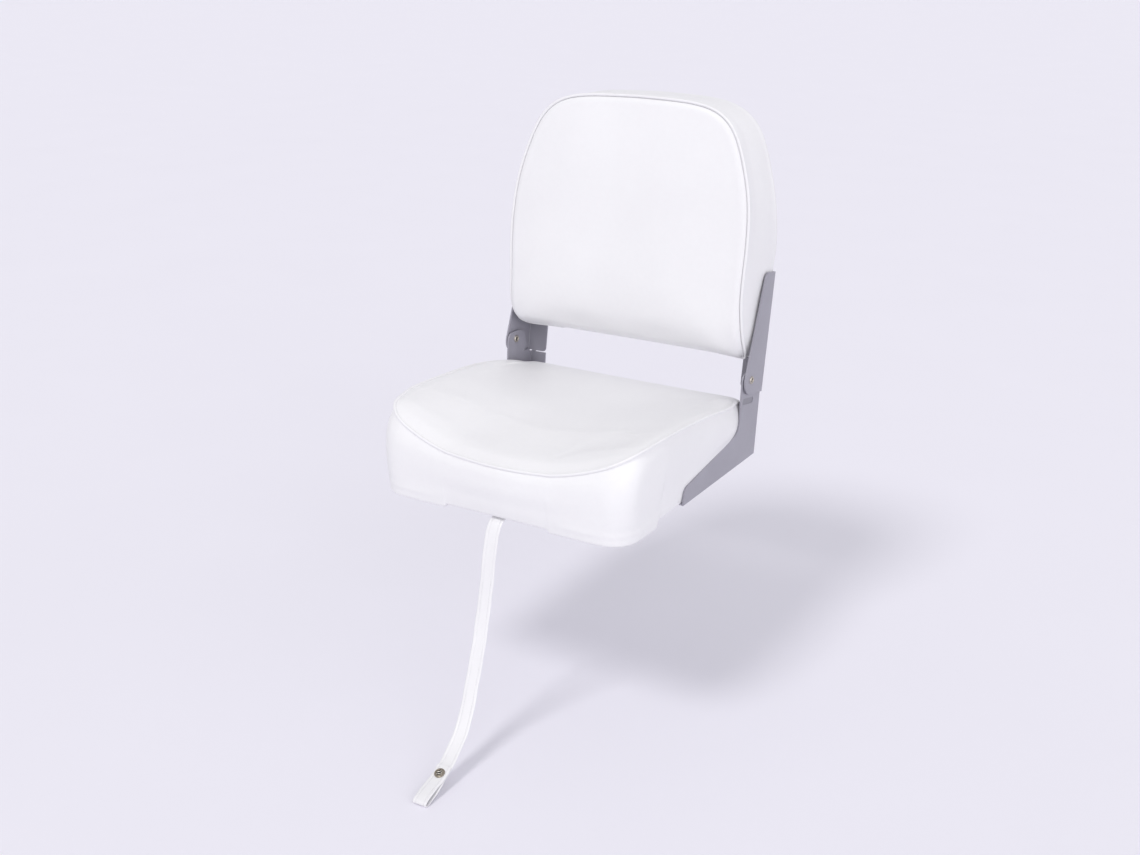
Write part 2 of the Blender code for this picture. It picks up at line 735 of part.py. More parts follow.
def make_pan():
    inset = VINYL + PAN_SIDE_GAP
    foot_bottom = VINYL + GAP - FOOT_DROP
    field_bottom = VINYL + GAP
    side_bottom = SHEET + GAP + VINYL + GAP
    reach = SEAT_BASE_HALF_WIDTH + OVERRUN
    bm = bmesh.new()
    prism(bm, pan_outline(inset), "Z", foot_bottom, PAN_TOP)
    pan = add_object("seat_pan", bm, PAN_PLASTIC, smooth=False)

    step_x = CHANNEL_HALF_WIDTH + STEP_RUN / 2 + VINYL
    step_y = CHANNEL_SIDE_Y - STEP_RUN / 2 - VINYL
    low = -FOOT_DROP - OVERRUN
    bm = bmesh.new()
    box(bm, (-step_x, step_x), (-SEAT_FRONT - OVERRUN, step_y),
        (low, field_bottom - CHANNEL_DROP))
    boolean(pan, make_cutter("front_channel_cutter", bm))
    bm = bmesh.new()
    box(bm, (-reach, reach), (step_y, SEAT_DEPTH), (low, field_bottom))
    boolean(pan, make_cutter("field_cutter", bm))
    bm = bmesh.new()
    rebate_x = LOWER_OUTER_X - LOWER_FOOT_WIDTH - 2 * GAP
    for side in (-1, 1):
        x = sorted((side * rebate_x, side * reach))
        box(bm, x, (step_y, SEAT_DEPTH), (low, side_bottom))
    rear_edge = SEAT_DEPTH - SEAT_FRONT - SEAT_BASE_REAR_INSET
    box(bm, (-reach, reach), (rear_edge - HEM_WIDTH - OVERRUN, rear_edge + OVERRUN),
        (low, side_bottom))
    boolean(pan, make_cutter("bracket_rebate_cutter", bm), tool_crosses_itself=True)

    bm = bmesh.new()
    root = (PAD_HALF + RIB, PAD_HALF + RIB)
    box(bm, (-root[0], root[0]), (-root[1], root[1]), (0, field_bottom + RIB))
    for side in (-1, 1):
        x = side * REAR_FOOT_X
        half = REAR_FOOT_SIZE / 2
        box(bm, (x - half, x + half), (REAR_FOOT_Y - half, REAR_FOOT_Y + half),
            (-FOOT_DROP, field_bottom + RIB))
    box(bm, (-STRAP_BOSS, STRAP_BOSS), (STRAP_SCREW_Y - STRAP_BOSS, STRAP_SCREW_Y + STRAP_BOSS),
        (STRAP_LAY_Z + STRAP_THICKNESS / 2 + GAP, field_bottom + RIB))
    boolean(pan, make_cutter("pad_and_feet", bm), "UNION")

    bm = bmesh.new()
    ceiling = PAN_TOP - PAN_SKIN
    pitch = POCKET_PITCH
    columns = int(2 * RIB_FIELD_HALF / pitch)
    rows = int((RIB_FIELD_REAR - RIB_FIELD_FRONT) / pitch)
    left = -columns * pitch / 2 + RIB / 2
    for row in range(rows):
        y = RIB_FIELD_FRONT + row * pitch
        for column in range(columns):
            x = left + column * pitch
            beside_pad = x > PAD_HALF + RIB or x + POCKET < -PAD_HALF - RIB
            past_pad = y > PAD_HALF + RIB or y + POCKET < -PAD_HALF - RIB
            near_strap = abs(x + POCKET / 2) < pitch and y < STRAP_SCREW_Y + RIB
            at_foot = abs(abs(x + POCKET / 2) - REAR_FOOT_X) < RIB
            at_foot = at_foot and abs(y + POCKET / 2 - REAR_FOOT_Y) < RIB
            if (beside_pad or past_pad) and not near_strap and not at_foot:
                box(bm, (x, x + POCKET), (y, y + POCKET), (low, ceiling))
    boolean(pan, make_cutter("pocket_cutter", bm))

    bm = bmesh.new()
    for x, y in bolt_places():
        hole = Matrix.Translation((x, y, 0))
        turned(bm, [(0, -OVERRUN), (TNUT_BARREL_RADIUS + GAP, -OVERRUN),
                    (TNUT_BARREL_RADIUS + GAP, PAN_TOP - TNUT_FLANGE_THICKNESS - GAP),
                    (TNUT_FLANGE_RADIUS + GAP, PAN_TOP - TNUT_FLANGE_THICKNESS - GAP),
                    (TNUT_FLANGE_RADIUS + GAP, PAN_TOP + OVERRUN),
                    (0, PAN_TOP + OVERRUN)], hole)
    for x, y in foot_screw_places():
        hole = Matrix.Translation((x, y, 0))
        turned(bm, [(0, -OVERRUN), (SCREW_RADIUS + GAP, -OVERRUN),
                    (SCREW_RADIUS + GAP, SCREW_LENGTH + 2 * GAP),
                    (0, SCREW_LENGTH + 2 * GAP)], hole)
    hole = Matrix.Translation((0, STRAP_SCREW_Y, 0))
    turned(bm, [(0, low), (SCREW_RADIUS + GAP, low),
                (SCREW_RADIUS + GAP, BOARD_SCREW_LENGTH + GAP),
                (0, BOARD_SCREW_LENGTH + GAP)], hole)
    boolean(pan, make_cutter("pan_hole_cutter", bm))
    return pan


def bolt_places():
    half = BOLT_PITCH / 2
    return [(x, y) for y in (-half, half) for x in (-half, half)]


def foot_screw_places():
    """Screws up through the lower brackets' feet."""
    x = LOWER_OUTER_X - LOWER_SCREW_INSET
    start = LOWER_TIP_Y + LOWER_FOOT_FRONT_RELIEF
    run = LOWER_KNEE_Y - LOWER_FOOT_REAR_RELIEF - start
    return [(side * x, start + run * share) for _, side in SIDES for share in LOWER_SCREW_SHARES]


make_pan()


def make_tnut(name, x, y):
    bm = bmesh.new()
    top = PAN_TOP - GAP / 2
    under = top - TNUT_FLANGE_THICKNESS
    turned(bm, [(TNUT_BORE_RADIUS, under - TNUT_BARREL_LENGTH),
                (TNUT_BARREL_RADIUS, under - TNUT_BARREL_LENGTH),
                (TNUT_BARREL_RADIUS, under), (TNUT_FLANGE_RADIUS, under),
                (TNUT_FLANGE_RADIUS, top), (TNUT_BORE_RADIUS, top)])
    add_object(name, bm, STEEL, place=Matrix.Translation((x, y, 0)))


for number, (x, y) in enumerate(bolt_places(), 1):
    make_tnut(f"t_nut_{number}", x, y)


def screw(name, place, length, material, parent=None):
    """Pan-head screw whose shank runs along +Z from the underside of its head."""
    bm = bmesh.new()
    head = -SCREW_HEAD_HEIGHT
    turned(bm, [(0, head + SCREW_SOCKET_DEPTH), (SCREW_SOCKET_RADIUS, head + SCREW_SOCKET_DEPTH),
                (SCREW_SOCKET_RADIUS, head), (SCREW_HEAD_RADIUS * 0.72, head),
                (SCREW_HEAD_RADIUS, head / 2), (SCREW_HEAD_RADIUS, 0), (SCREW_RADIUS, 0),
                (SCREW_RADIUS, length - SCREW_RADIUS), (0, length)])
    return add_object(name, bm, material, parent, place=place)


for number, (x, y) in enumerate(foot_screw_places(), 1):
    screw(f"foot_screw_{number}", Matrix.Translation((x, y, -GAP)), SCREW_LENGTH, STEEL)


# Lower brackets
def lower_rear_y(z):
    return LOWER_KNEE_Y + LOWER_REAR_SLOPE * z


def fold_section(outer, width, depth, side):
    """L section of a bent sheet: a side leg and a flange with a rounded bend.

    The section is drawn in (x, depth ahead of the rear face).
    """
    inner = BEND_RADIUS
    big = BEND_RADIUS + SHEET
    corners = [(outer, 0, big), (outer, depth, 0), (outer - SHEET, depth, 0),
               (outer - SHEET, SHEET, inner), (outer - width, SHEET, 0), (outer - width, 0, 0)]
    return [(side * x, d) for x, d in rounded_outline(corners, 4)]


def sheared_prism(bm, section, low, high, rear_at, up_at):
    """Extrude a plan section (x, depth) between two heights along a leaning rear edge."""
    bottom = [bm.verts.new((x, rear_at(low) - d, up_at(low))) for x, d in section]
    top = [bm.verts.new((x, rear_at(high) - d, up_at(high))) for x, d in section]
    bm.faces.new(bottom)
    bm.faces.new(reversed(top))
    count = len(section)
    for index in range(count):
        after = (index + 1) % count
        bm.faces.new((bottom[index], top[index], top[after], bottom[after]))


def lower_outline():
    arm_end = arm_top(LOWER_NECK_Y)
    notch_low = RELIEF_SLOT_Z
    notch_high = RELIEF_SLOT_Z + RELIEF_SLOT_HEIGHT
    step_y = LOWER_KNEE_Y + RELIEF_STEP_BEHIND_KNEE
    slot_front = step_y - RELIEF_SLOT_DEPTH
    return rounded_outline([
        (lower_rear_y(0), 0, 0),
        (lower_rear_y(LOWER_FLANGE_TOP), LOWER_FLANGE_TOP, 0),
        (step_y, LOWER_FLANGE_TOP, 0),
        (step_y, notch_low, EASED_CORNER),
        (slot_front, notch_low, RELIEF_SLOT_HEIGHT * 0.45),
        (slot_front, notch_high, RELIEF_SLOT_HEIGHT * 0.45),
        (LOWER_TOP_REAR_Y + LOWER_TOP_RADIUS * 0.9, notch_high, EASED_CORNER),
        (LOWER_TOP_REAR_Y, LOWER_TOP_Z, LOWER_TOP_REAR_RADIUS),
        (LOWER_NECK_Y + LOWER_NECK_LEAN, LOWER_TOP_Z, LOWER_TOP_RADIUS),
        (LOWER_NECK_Y - LOWER_NECK_LEAN, arm_end, LOWER_THROAT_RADIUS),
        (LOWER_TIP_Y + LOWER_TIP_LEAN, arm_top(LOWER_TIP_Y), LOWER_TIP_RADIUS),
        (LOWER_TIP_Y, LOWER_TOE_RADIUS, EASED_CORNER),
        (LOWER_TIP_Y + LOWER_TOE_RADIUS, 0, EASED_CORNER),
    ], 5)


def make_lower_bracket(label, side):
    depth = LOWER_KNEE_Y - LOWER_TIP_Y + LOWER_NECK_Y
    bm = bmesh.new()
    plate = sorted((side * LOWER_INNER_X, side * LOWER_OUTER_X))
    prism(bm, lower_outline(), "X", *plate)
    bracket = add_object(f"lower_bracket_{label}", bm, GREY_COAT)

    # Rear flange up to the stop, with its bend
    bm = bmesh.new()
    leg = BEND_RADIUS + 3 * SHEET
    section = fold_section(LOWER_OUTER_X, LOWER_FLANGE_WIDTH, leg, side)
    sheared_prism(bm, section, LOWER_FOOT_REAR_RELIEF, LOWER_FLANGE_TOP,
                  lower_rear_y, lambda z: z)
    boolean(bracket, make_cutter(f"lower_flange_{label}", bm), "UNION")

    # Foot flange under the pan
    bm = bmesh.new()
    front = LOWER_TIP_Y + LOWER_FOOT_FRONT_RELIEF
    rear = LOWER_KNEE_Y - LOWER_FOOT_REAR_RELIEF
    big = BEND_RADIUS + SHEET
    corners = [(LOWER_OUTER_X, 0, big), (LOWER_OUTER_X, leg, 0),
               (LOWER_INNER_X, leg, 0), (LOWER_INNER_X, SHEET, BEND_RADIUS),
               (LOWER_OUTER_X - LOWER_FOOT_WIDTH, SHEET, 0),
               (LOWER_OUTER_X - LOWER_FOOT_WIDTH, 0, 0)]
    section = [(side * x, z) for x, z in rounded_outline(corners, 4)]
    prism(bm, section, "Y", front, rear)
    boolean(bracket, make_cutter(f"lower_foot_{label}", bm), "UNION")

    # Trim the sharp corners outside the bends
    bm = bmesh.new()
    trim = rounded_outline([(LOWER_OUTER_X, 0, big), (LOWER_OUTER_X, leg, 0),
                            (LOWER_OUTER_X + OVERRUN, leg, 0),
                            (LOWER_OUTER_X + OVERRUN, -OVERRUN, 0),
                            (LOWER_OUTER_X - big, -OVERRUN, 0), (LOWER_OUTER_X - big, 0, 0)], 4)
    prism(bm, [(side * x, z) for x, z in trim], "Y", LOWER_TIP_Y - OVERRUN, depth)
    boolean(bracket, make_cutter(f"lower_foot_trim_{label}", bm))
    bm = bmesh.new()
    trim = rounded_outline([(LOWER_OUTER_X, 0, big), (LOWER_OUTER_X, leg, 0),
                            (LOWER_OUTER_X + OVERRUN, leg, 0),
                            (LOWER_OUTER_X + OVERRUN, -OVERRUN, 0),
                            (LOWER_OUTER_X - big, -OVERRUN, 0), (LOWER_OUTER_X - big, 0, 0)], 4)
    sheared_prism(bm, [(side * x, d) for x, d in trim], -OVERRUN, LOWER_FLANGE_TOP + OVERRUN,
                  lower_rear_y, lambda z: z)
    boolean(bracket, make_cutter(f"lower_rear_trim_{label}", bm))

    # Stop tab on the flange's top edge, under the upper flange
    bm = bmesh.new()
    tab_x = sorted((side * (LOWER_INNER_X - BEND_RADIUS),
                    side * (LOWER_INNER_X - BEND_RADIUS - STOP_TAB_WIDTH)))
    rear = lower_rear_y(LOWER_FLANGE_TOP)
    tab_top = LOWER_FLANGE_TOP + stop_tab_rise()
    box(bm, tab_x, (rear - SHEET, rear), (LOWER_FLANGE_TOP - SHEET, tab_top))
    boolean(bracket, make_cutter(f"stop_tab_{label}", bm), "UNION")

    # Holes for the rivet and the foot screws, and the pressed mark
    bm = bmesh.new()
    hole = aim((side * (LOWER_INNER_X - OVERRUN), PIVOT_Y, PIVOT_Z), (side, 0, 0))
    bore = RIVET_RADIUS + RIVET_CLEARANCE
    turned(bm, [(0, 0), (bore, 0), (bore, SHEET + 2 * OVERRUN), (0, SHEET + 2 * OVERRUN)],
           hole, ROUND)
    for x, y in foot_screw_places():
        if x * side > 0:
            bore = SCREW_RADIUS + 2 * GAP
            turned(bm, [(0, -OVERRUN), (bore, -OVERRUN), (bore, SHEET + OVERRUN),
                        (0, SHEET + OVERRUN)], Matrix.Translation((x, y, 0)))
    boolean(bracket, make_cutter(f"lower_hole_cutter_{label}", bm))

    bm = bmesh.new()
    turn = Matrix.Rotation(-LEAN, 2)
    centre = Vector((PIVOT_Y, PIVOT_Z - UPPER_FOOT_BELOW_PIVOT - MARK_BELOW_UPPER))
    half = (MARK_LENGTH / 2, MARK_HEIGHT / 2)
    blunt = half[1] * 0.9
    mark = rounded_outline([(-half[0], -half[1], EASED_CORNER), (half[0], -half[1], blunt),
                            (half[0], half[1], blunt), (-half[0], half[1], EASED_CORNER)], 4)
    mark = [tuple(centre + turn @ Vector(p)) for p in mark]
    faces = sorted((side * (LOWER_OUTER_X - MARK_DEPTH), side * (LOWER_OUTER_X + OVERRUN)))
    prism(bm, mark, "X", *faces)
    boolean(bracket, make_cutter(f"mark_cutter_{label}", bm))
    return bracket


def stop_tab_rise():
    """Rise of the tab that brings it to a gap under the upper flange at rest."""
    rear = lower_rear_y(LOWER_FLANGE_TOP) - PIVOT_Y
    local_y = UPPER_REAR
    foot = -UPPER_FOOT_BELOW_PIVOT
    upper_rear_z = PIVOT_Z + foot * math.cos(LEAN) - local_y * math.sin(LEAN)
    slope = math.tan(LEAN)
    upper_rear_y = local_y * math.cos(LEAN) + foot * math.sin(LEAN)
    reach = max(rear - upper_rear_y, 0)
    return upper_rear_z - slope * reach - 2 * GAP - LOWER_FLANGE_TOP


for label, side in SIDES:
    make_lower_bracket(label, side)


# Upper brackets, in the leaning frame
def upper_outline():
    rear = UPPER_REAR
    foot = -UPPER_FOOT_BELOW_PIVOT
    top = foot + UPPER_LENGTH
    return rounded_outline([
        (rear, foot, 0), (rear, top, 0),
        (rear - UPPER_TOP_DEPTH, top, UPPER_TOP_RADIUS),
        (rear - UPPER_FOOT_DEPTH, foot, UPPER_FOOT_RADIUS),
    ], 8)


def make_upper_bracket(label, side):
    foot = -UPPER_FOOT_BELOW_PIVOT
    top = foot + UPPER_LENGTH
    bm = bmesh.new()
    prism(bm, upper_outline(), "X", *sorted((side * UPPER_INNER_X, side * UPPER_OUTER_X)))
    bracket = add_object(f"upper_bracket_{label}", bm, GREY_COAT, back_pivot)

    bm = bmesh.new()
    leg = BEND_RADIUS + 3 * SHEET
    section = fold_section(UPPER_OUTER_X, UPPER_FLANGE_WIDTH, leg, side)
    sheared_prism(bm, section, foot, top, lambda z: UPPER_REAR, lambda z: z)
    boolean(bracket, make_cutter(f"upper_flange_{label}", bm, back_pivot), "UNION")

    bm = bmesh.new()
    big = BEND_RADIUS + SHEET
    trim = rounded_outline([(UPPER_OUTER_X, 0, big), (UPPER_OUTER_X, leg, 0),
                            (UPPER_OUTER_X + OVERRUN, leg, 0),
                            (UPPER_OUTER_X + OVERRUN, -OVERRUN, 0),
                            (UPPER_OUTER_X - big, -OVERRUN, 0), (UPPER_OUTER_X - big, 0, 0)], 4)
    sheared_prism(bm, [(side * x, d) for x, d in trim], foot - OVERRUN, top + OVERRUN,
                  lambda z: UPPER_REAR, lambda z: z)
    # Round the flange's free corners
    inner = UPPER_OUTER_X - UPPER_FLANGE_WIDTH
    radius = UPPER_FLANGE_CORNER
    for height, way in ((foot, 1), (top, -1)):
        arc = [(inner - OVERRUN, height - way * OVERRUN), (inner + radius, height - way * OVERRUN)]
        for step in range(5):
            angle = math.pi / 2 * step / 4
            arc.append((inner + radius - radius * math.sin(angle),
                        height + way * (radius - radius * math.cos(angle))))
        arc.append((inner - OVERRUN, height + way * radius))
        prism(bm, [(side * x, z) for x, z in arc], "Y", UPPER_REAR - SHEET - OVERRUN,
              UPPER_REAR + OVERRUN)
    boolean(bracket, make_cutter(f"upper_trim_{label}", bm, back_pivot))

    bm = bmesh.new()
    bore = RIVET_RADIUS + RIVET_CLEARANCE
    hole = aim((side * (UPPER_INNER_X - OVERRUN), 0, 0), (side, 0, 0))
    turned(bm, [(0, 0), (bore, 0), (bore, SHEET + 2 * OVERRUN), (0, SHEET + 2 * OVERRUN)],
           hole, ROUND)
    bore = SCREW_RADIUS + 2 * GAP
    for height in UPPER_SCREW_HEIGHTS:
        hole = aim((side * (UPPER_OUTER_X - UPPER_SCREW_INSET), UPPER_REAR + OVERRUN, height),
                   (0, -1, 0))
        turned(bm, [(0, 0), (bore, 0), (bore, SHEET + 2 * OVERRUN), (0, SHEET + 2 * OVERRUN)],
               hole)
    boolean(bracket, make_cutter(f"upper_hole_cutter_{label}", bm, back_pivot))


for label, side in SIDES:
    make_upper_bracket(label, side)


# Pivot rivets and washers
def make_rivet(label, side):
    """Semi-tubular rivet with a dished head on each side."""
    bm = bmesh.new()
    start = LOWER_INNER_X - GAP
    grip = UPPER_OUTER_X + GAP - start
    dimple = RIVET_DIMPLE_RADIUS
    head = RIVET_HEAD_HEIGHT
    wide = RIVET_HEAD_RADIUS
    turned(bm, [(0, -head + RIVET_DIMPLE_DEPTH), (dimple * 0.7, -head + RIVET_DIMPLE_DEPTH),
                (dimple, -head), (wide * 0.6, -head), (wide * 0.9, -head * 0.6), (wide, 0),
                (RIVET_RADIUS, 0), (RIVET_RADIUS, grip), (wide, grip),
                (wide * 0.9, grip + head * 0.6), (wide * 0.6, grip + head),
                (dimple, grip + head), (dimple * 0.7, grip + head - RIVET_DIMPLE_DEPTH),
                (0, grip + head - RIVET_DIMPLE_DEPTH)], segments=ROUND)
    add_object(f"pivot_rivet_{label}", bm, NICKEL,
               place=aim((side * start, PIVOT_Y, PIVOT_Z), (side, 0, 0)))


def make_washer(label, side):
    bm = bmesh.new()
    bore = RIVET_RADIUS + GAP
    turned(bm, [(bore, 0), (WASHER_RADIUS, 0), (WASHER_RADIUS, WASHER_THICKNESS),
                (bore, WASHER_THICKNESS)], segments=ROUND)
    add_object(f"pivot_washer_{label}", bm, NYLON,
               place=aim((side * (LOWER_OUTER_X + GAP), PIVOT_Y, PIVOT_Z), (side, 0, 0)))


for label, side in SIDES:
    make_rivet(label, side)
    make_washer(label, side)


# Backrest cushion form, in the leaning frame
def back_rear_y(z):
    return BACK_REAR * read_table(BACK_REAR_SHARES, (z - BACK_BOTTOM) / BACK_HEIGHT)


def back_flare(z, n):
    """How far the rear edge stands outside the seam; nothing along the bottom."""
    share = read_table(BACK_FLARE_SHARES, (z - BACK_BOTTOM) / BACK_HEIGHT)
    return BACK_FLARE * share * (1 - max(0, -n.z))


def press_back(point):
    """Keep a soft point between the upper bracket plates."""
    top = UPPER_LENGTH - UPPER_FOOT_BELOW_PIVOT + BRACKET_TOP_MARGIN
    if point.z < top + BRACKET_TOP_MARGIN:
        limit = UPPER_INNER_X - GAP
        point.x = min(max(point.x, -limit), limit)
    return point


def back_station_shares(curve):
    """Even steps along the seam, with one station just above the brackets' top."""
    total = lengths_along(curve)
    top = UPPER_LENGTH - UPPER_FOOT_BELOW_PIVOT + BRACKET_TOP_MARGIN
    index = next(i for i, point in enumerate(curve) if i > len(curve) / 4 and point.z > top)
    span = (top - curve[index - 1].z) / (curve[index].z - curve[index - 1].z)
    split = (total[index - 1] + span * (total[index] - total[index - 1])) / total[-1]
    low_steps = round(split * RING_STEPS)
    high_steps = RING_STEPS - low_steps
    shares = [split * step / low_steps for step in range(low_steps)]
    return shares + [split + (1 - split) * step / high_steps for step in range(high_steps + 1)]


def back_seam():
    points = [Vector((a * BACK_HALF_WIDTH, b * BACK_FRONT, BACK_BOTTOM + c * BACK_HEIGHT))
              for a, b, c in BACK_SEAM_SHARES]
    curve = smooth_curve(points, CURVE_STEPS)
    half = sample(curve, back_station_shares(curve))
    for point in (half[0], half[-1]):
        point.x = 0
    seam = mirror_half(half)
    rear = Vector((0, 1, 0))
    return [p - (n - rear) * PIPING_STAND_OFF for p, n in zip(seam, back_outward(seam))]


def back_outward(seam):
    flat = [Vector((p.x, 0, p.z)) for p in seam]
    found = flat_outward(flat, Vector((0, -1, 0)))
    middle = Vector((0, 0, BACK_CROWN_HEIGHT))
    return [n if n.dot(p - middle) > 0 else -n for n, p in zip(found, flat)]


def back_form():
    """Rings from the rear hem's inner edge over the band and seam to the crown."""
    seam = back_seam()
    outward = back_outward(seam)
    hem, edge, corner = [], [], []
    for p, n in zip(seam, outward):
        flare = back_flare(p.z, n)
        for ring, inset, ahead in ((hem, BACK_HEM, 0), (edge, BACK_EDGE_ROUND, 0),
                                   (corner, 0, BACK_EDGE_ROUND)):
            spot = Vector((p.x, 0, p.z)) + n * (flare - inset)
            spot.y = back_rear_y(spot.z) - ahead
            ring.append(press_back(spot))
    rings = [hem, edge, corner]
    for share in BAND_SHARES:
        ring = []
        for first, last, n in zip(corner, seam, outward):
            bulge = BACK_BULGE * 4 * share * (1 - share)
            depth = min((first.y - last.y) / BACK_FRONT, 1)
            ring.append(press_back(first.lerp(last, share) + n * bulge * depth))
        rings.append(ring)
    rings.append(seam)
    centre = Vector((0, -BACK_CROWN, BACK_CROWN_HEIGHT))
    for t in CROWN_SHARES:
        ring = []
        for start, n in zip(seam, outward):
            first = Vector((start.x, 0, start.z)) - n * BACK_ROLL_DROP
            low = max(0, -n.z)
            first.z -= 2 * BACK_ROLL_DROP * low
            first.y = -BACK_CROWN - (BACK_ROLL_REACH - BACK_CROWN) * low
            second = Vector((start.x, 0, start.z)).lerp(centre, SADDLE_SHARE)
            second.y = -BACK_CROWN
            ring.append(bezier(start, first, second, centre, t))
        rings.append(ring)
    return rings, centre


back_rings, back_centre = back_form()
BACK_SEAM_RING_INDEX = 3 + len(BAND_SHARES)
back_inside = Vector((0, 0, BACK_CROWN_HEIGHT))
soft_shell("back_cover", back_rings, back_centre, back_inside, WHITE_VINYL, back_pivot)

# The piping runs up one side, over the top and down the other, and ends underneath
back_path = piping_path(back_rings, BACK_SEAM_RING_INDEX, back_centre, back_inside)
PIPING_END_INDEX = 5
back_path = back_path[PIPING_END_INDEX:len(back_path) - PIPING_END_INDEX + 1]
tube("back_piping", back_path, PIPING_RADIUS, WHITE_VINYL, back_pivot)


def rear_strip(front_offset, rear_offset, steps=24):
    """Side outline of a sheet that follows the backrest's rear face."""
    low = BACK_BOTTOM - OVERRUN
    high = BACK_BOTTOM + BACK_HEIGHT + OVERRUN
    heights = [low + (high - low) * step / steps for step in range(steps + 1)]
    outline = [(back_rear_y(z) - rear_offset, z) for z in heights]
    outline += [(back_rear_y(z) - front_offset, z) for z in reversed(heights)]
    return outline


def arch_prism(inset):
    seam = back_seam()
    outward = back_outward(seam)
    outline = []
    for p, n in zip(seam, outward):
        reach = back_flare(p.z, n) - inset
        outline.append((p.x + n.x * reach, p.z + n.z * reach))
    bm = bmesh.new()
    prism(bm, outline, "Y", -BACK_FRONT, UPPER_REAR + OVERRUN)
    return bm


def stud_place():
    """Placement on the rear panel, looking out along its normal."""
    reach = STUD_BASE_RADIUS
    low = back_rear_y(STUD_ABOVE_PIVOT - reach)
    high = back_rear_y(STUD_ABOVE_PIVOT + reach)
    normal = Vector((0, 2 * reach, low - high)).normalized()
    spot = Vector((0, back_rear_y(STUD_ABOVE_PIVOT), STUD_ABOVE_PIVOT))
    return aim(spot + normal * 2 * GAP, normal)


def back_screw_places():
    x = UPPER_OUTER_X - UPPER_SCREW_INSET
    return [(side * x, z) for _, side in SIDES for z in UPPER_SCREW_HEIGHTS]


def back_hole_cutter(name, radius):
    """Holes for the flange screws and the stud through the panel and board."""
    bm = bmesh.new()
    depth = BACK_REAR + OVERRUN
    reach = VINYL + BOARD_THICKNESS + 3 * OVERRUN
    for x, z in back_screw_places():
        hole = aim((x, depth, z), (0, -1, 0))
        turned(bm, [(0, 0), (radius, 0), (radius, reach), (0, reach)], hole)
    turned(bm, [(0, -reach), (radius, -reach), (radius, reach), (0, reach)], stud_place())
    return make_cutter(name, bm, back_pivot)


def make_rear_panel():
    bm = bmesh.new()
    half = BACK_HALF_WIDTH + OVERRUN
    prism(bm, rear_strip(VINYL, 0), "X", -half, half)
    panel = add_object("back_rear_panel", bm, WHITE_VINYL, back_pivot)
    boolean(panel, make_cutter("panel_arch", arch_prism(BACK_HEM + 2 * GAP), back_pivot),
            "INTERSECT")
    boolean(panel, back_hole_cutter("panel_hole_cutter", SCREW_RADIUS + GAP))


def make_board():
    bm = bmesh.new()
    half = BACK_HALF_WIDTH + OVERRUN
    skin_depth = VINYL + 2 * GAP
    prism(bm, rear_strip(skin_depth + BOARD_THICKNESS, skin_depth), "X", -half, half)
    board = add_object("back_board", bm, BOARD, back_pivot)
    boolean(board, make_cutter("board_arch", arch_prism(BOARD_INSET), back_pivot), "INTERSECT")
    boolean(board, back_hole_cutter("board_hole_cutter", SCREW_RADIUS + GAP))


make_rear_panel()
make_board()

def make_back_foam():
    """Foam ahead of the board; its rear follows the board's front face."""
    bm, made = skin(back_rings[2:], back_centre)
    orient_outward(bm, back_inside)
    depth = VINYL + SOFT_GAP
    moved = [(vert, vert.co - vert.normal * depth) for vert in bm.verts]
    for vert, spot in moved:
        vert.co = spot
    floor = []
    for vert in made[0]:
        floor.append(bm.verts.new((vert.co.x, UPPER_REAR + OVERRUN, vert.co.z)))
    count = len(floor)
    for index in range(count):
        after = (index + 1) % count
        bm.faces.new((floor[index], floor[after], made[0][after], made[0][index]))
    bm.faces.new(floor)
    foam = add_object("back_foam", bm, FOAM, back_pivot)
    bm = bmesh.new()
    half = BACK_HALF_WIDTH + 2 * BACK_FLARE
    low = BACK_BOTTOM - 4 * OVERRUN
    high = BACK_BOTTOM + BACK_HEIGHT + 2 * BACK_FLARE
    steps = 24
    depth = VINYL + 3 * GAP + BOARD_THICKNESS
    outline = []
    for step in range(steps + 1):
        z = low + (high - low) * step / steps
        outline.append((back_rear_y(z) - depth, z))
    outline += [(UPPER_REAR + 2 * OVERRUN, high), (UPPER_REAR + 2 * OVERRUN, low)]
    prism(bm, outline, "X", -half, half)
    boolean(foam, make_cutter("foam_rear_cutter", bm, back_pivot))
    boolean(foam, back_hole_cutter("foam_hole_cutter", SCREW_RADIUS + 2 * GAP))


make_back_foam()

for number, (x, z) in enumerate(back_screw_places(), 1):
    screw(f"back_screw_{number}", aim((x, UPPER_REAR + GAP, z), (0, -1, 0)),
          BOARD_SCREW_LENGTH, STEEL, back_pivot)


# Snap stud on the back of the backrest
def make_stud():
    bm = bmesh.new()
    base = STUD_BASE_HEIGHT
    top = STUD_HEIGHT
    turned(bm, [(0, -STUD_SHANK_LENGTH), (SCREW_RADIUS, -STUD_SHANK_LENGTH + SCREW_RADIUS),
                (SCREW_RADIUS, 0), (STUD_BASE_RADIUS, 0), (STUD_BASE_RADIUS, base / 2),
                (STUD_NECK_RADIUS, base), (STUD_NECK_RADIUS, top / 2),
                (STUD_RADIUS, top * 0.75), (STUD_RADIUS * 0.8, top), (0, top)],
           segments=ROUND)
    add_object("snap_stud", bm, NICKEL, back_pivot, place=stud_place())


make_stud()


# Strap
def strap_frames():
    """Centre, width direction and face direction at each point of the strap's path."""
    path = smooth_curve(STRAP_ROUTE + STRAP_RETURN, STRAP_STEPS)
    frames = []
    for index, point in enumerate(path):
        before = path[max(index - 1, 0)]
        after = path[min(index + 1, len(path) - 1)]
        along = (after - before).normalized()
        across = Vector((1, 0, 0))
        across = (across - along * across.dot(along)).normalized()
        frames.append((point, across, across.cross(along).normalized()))
    return frames


def snap_place(index):
    """Placement on the strap with Z pointing away from the floor."""
    point, across, face = strap_frames()[index * STRAP_STEPS]
    if face.z < 0:
        face = -face
    return point, face


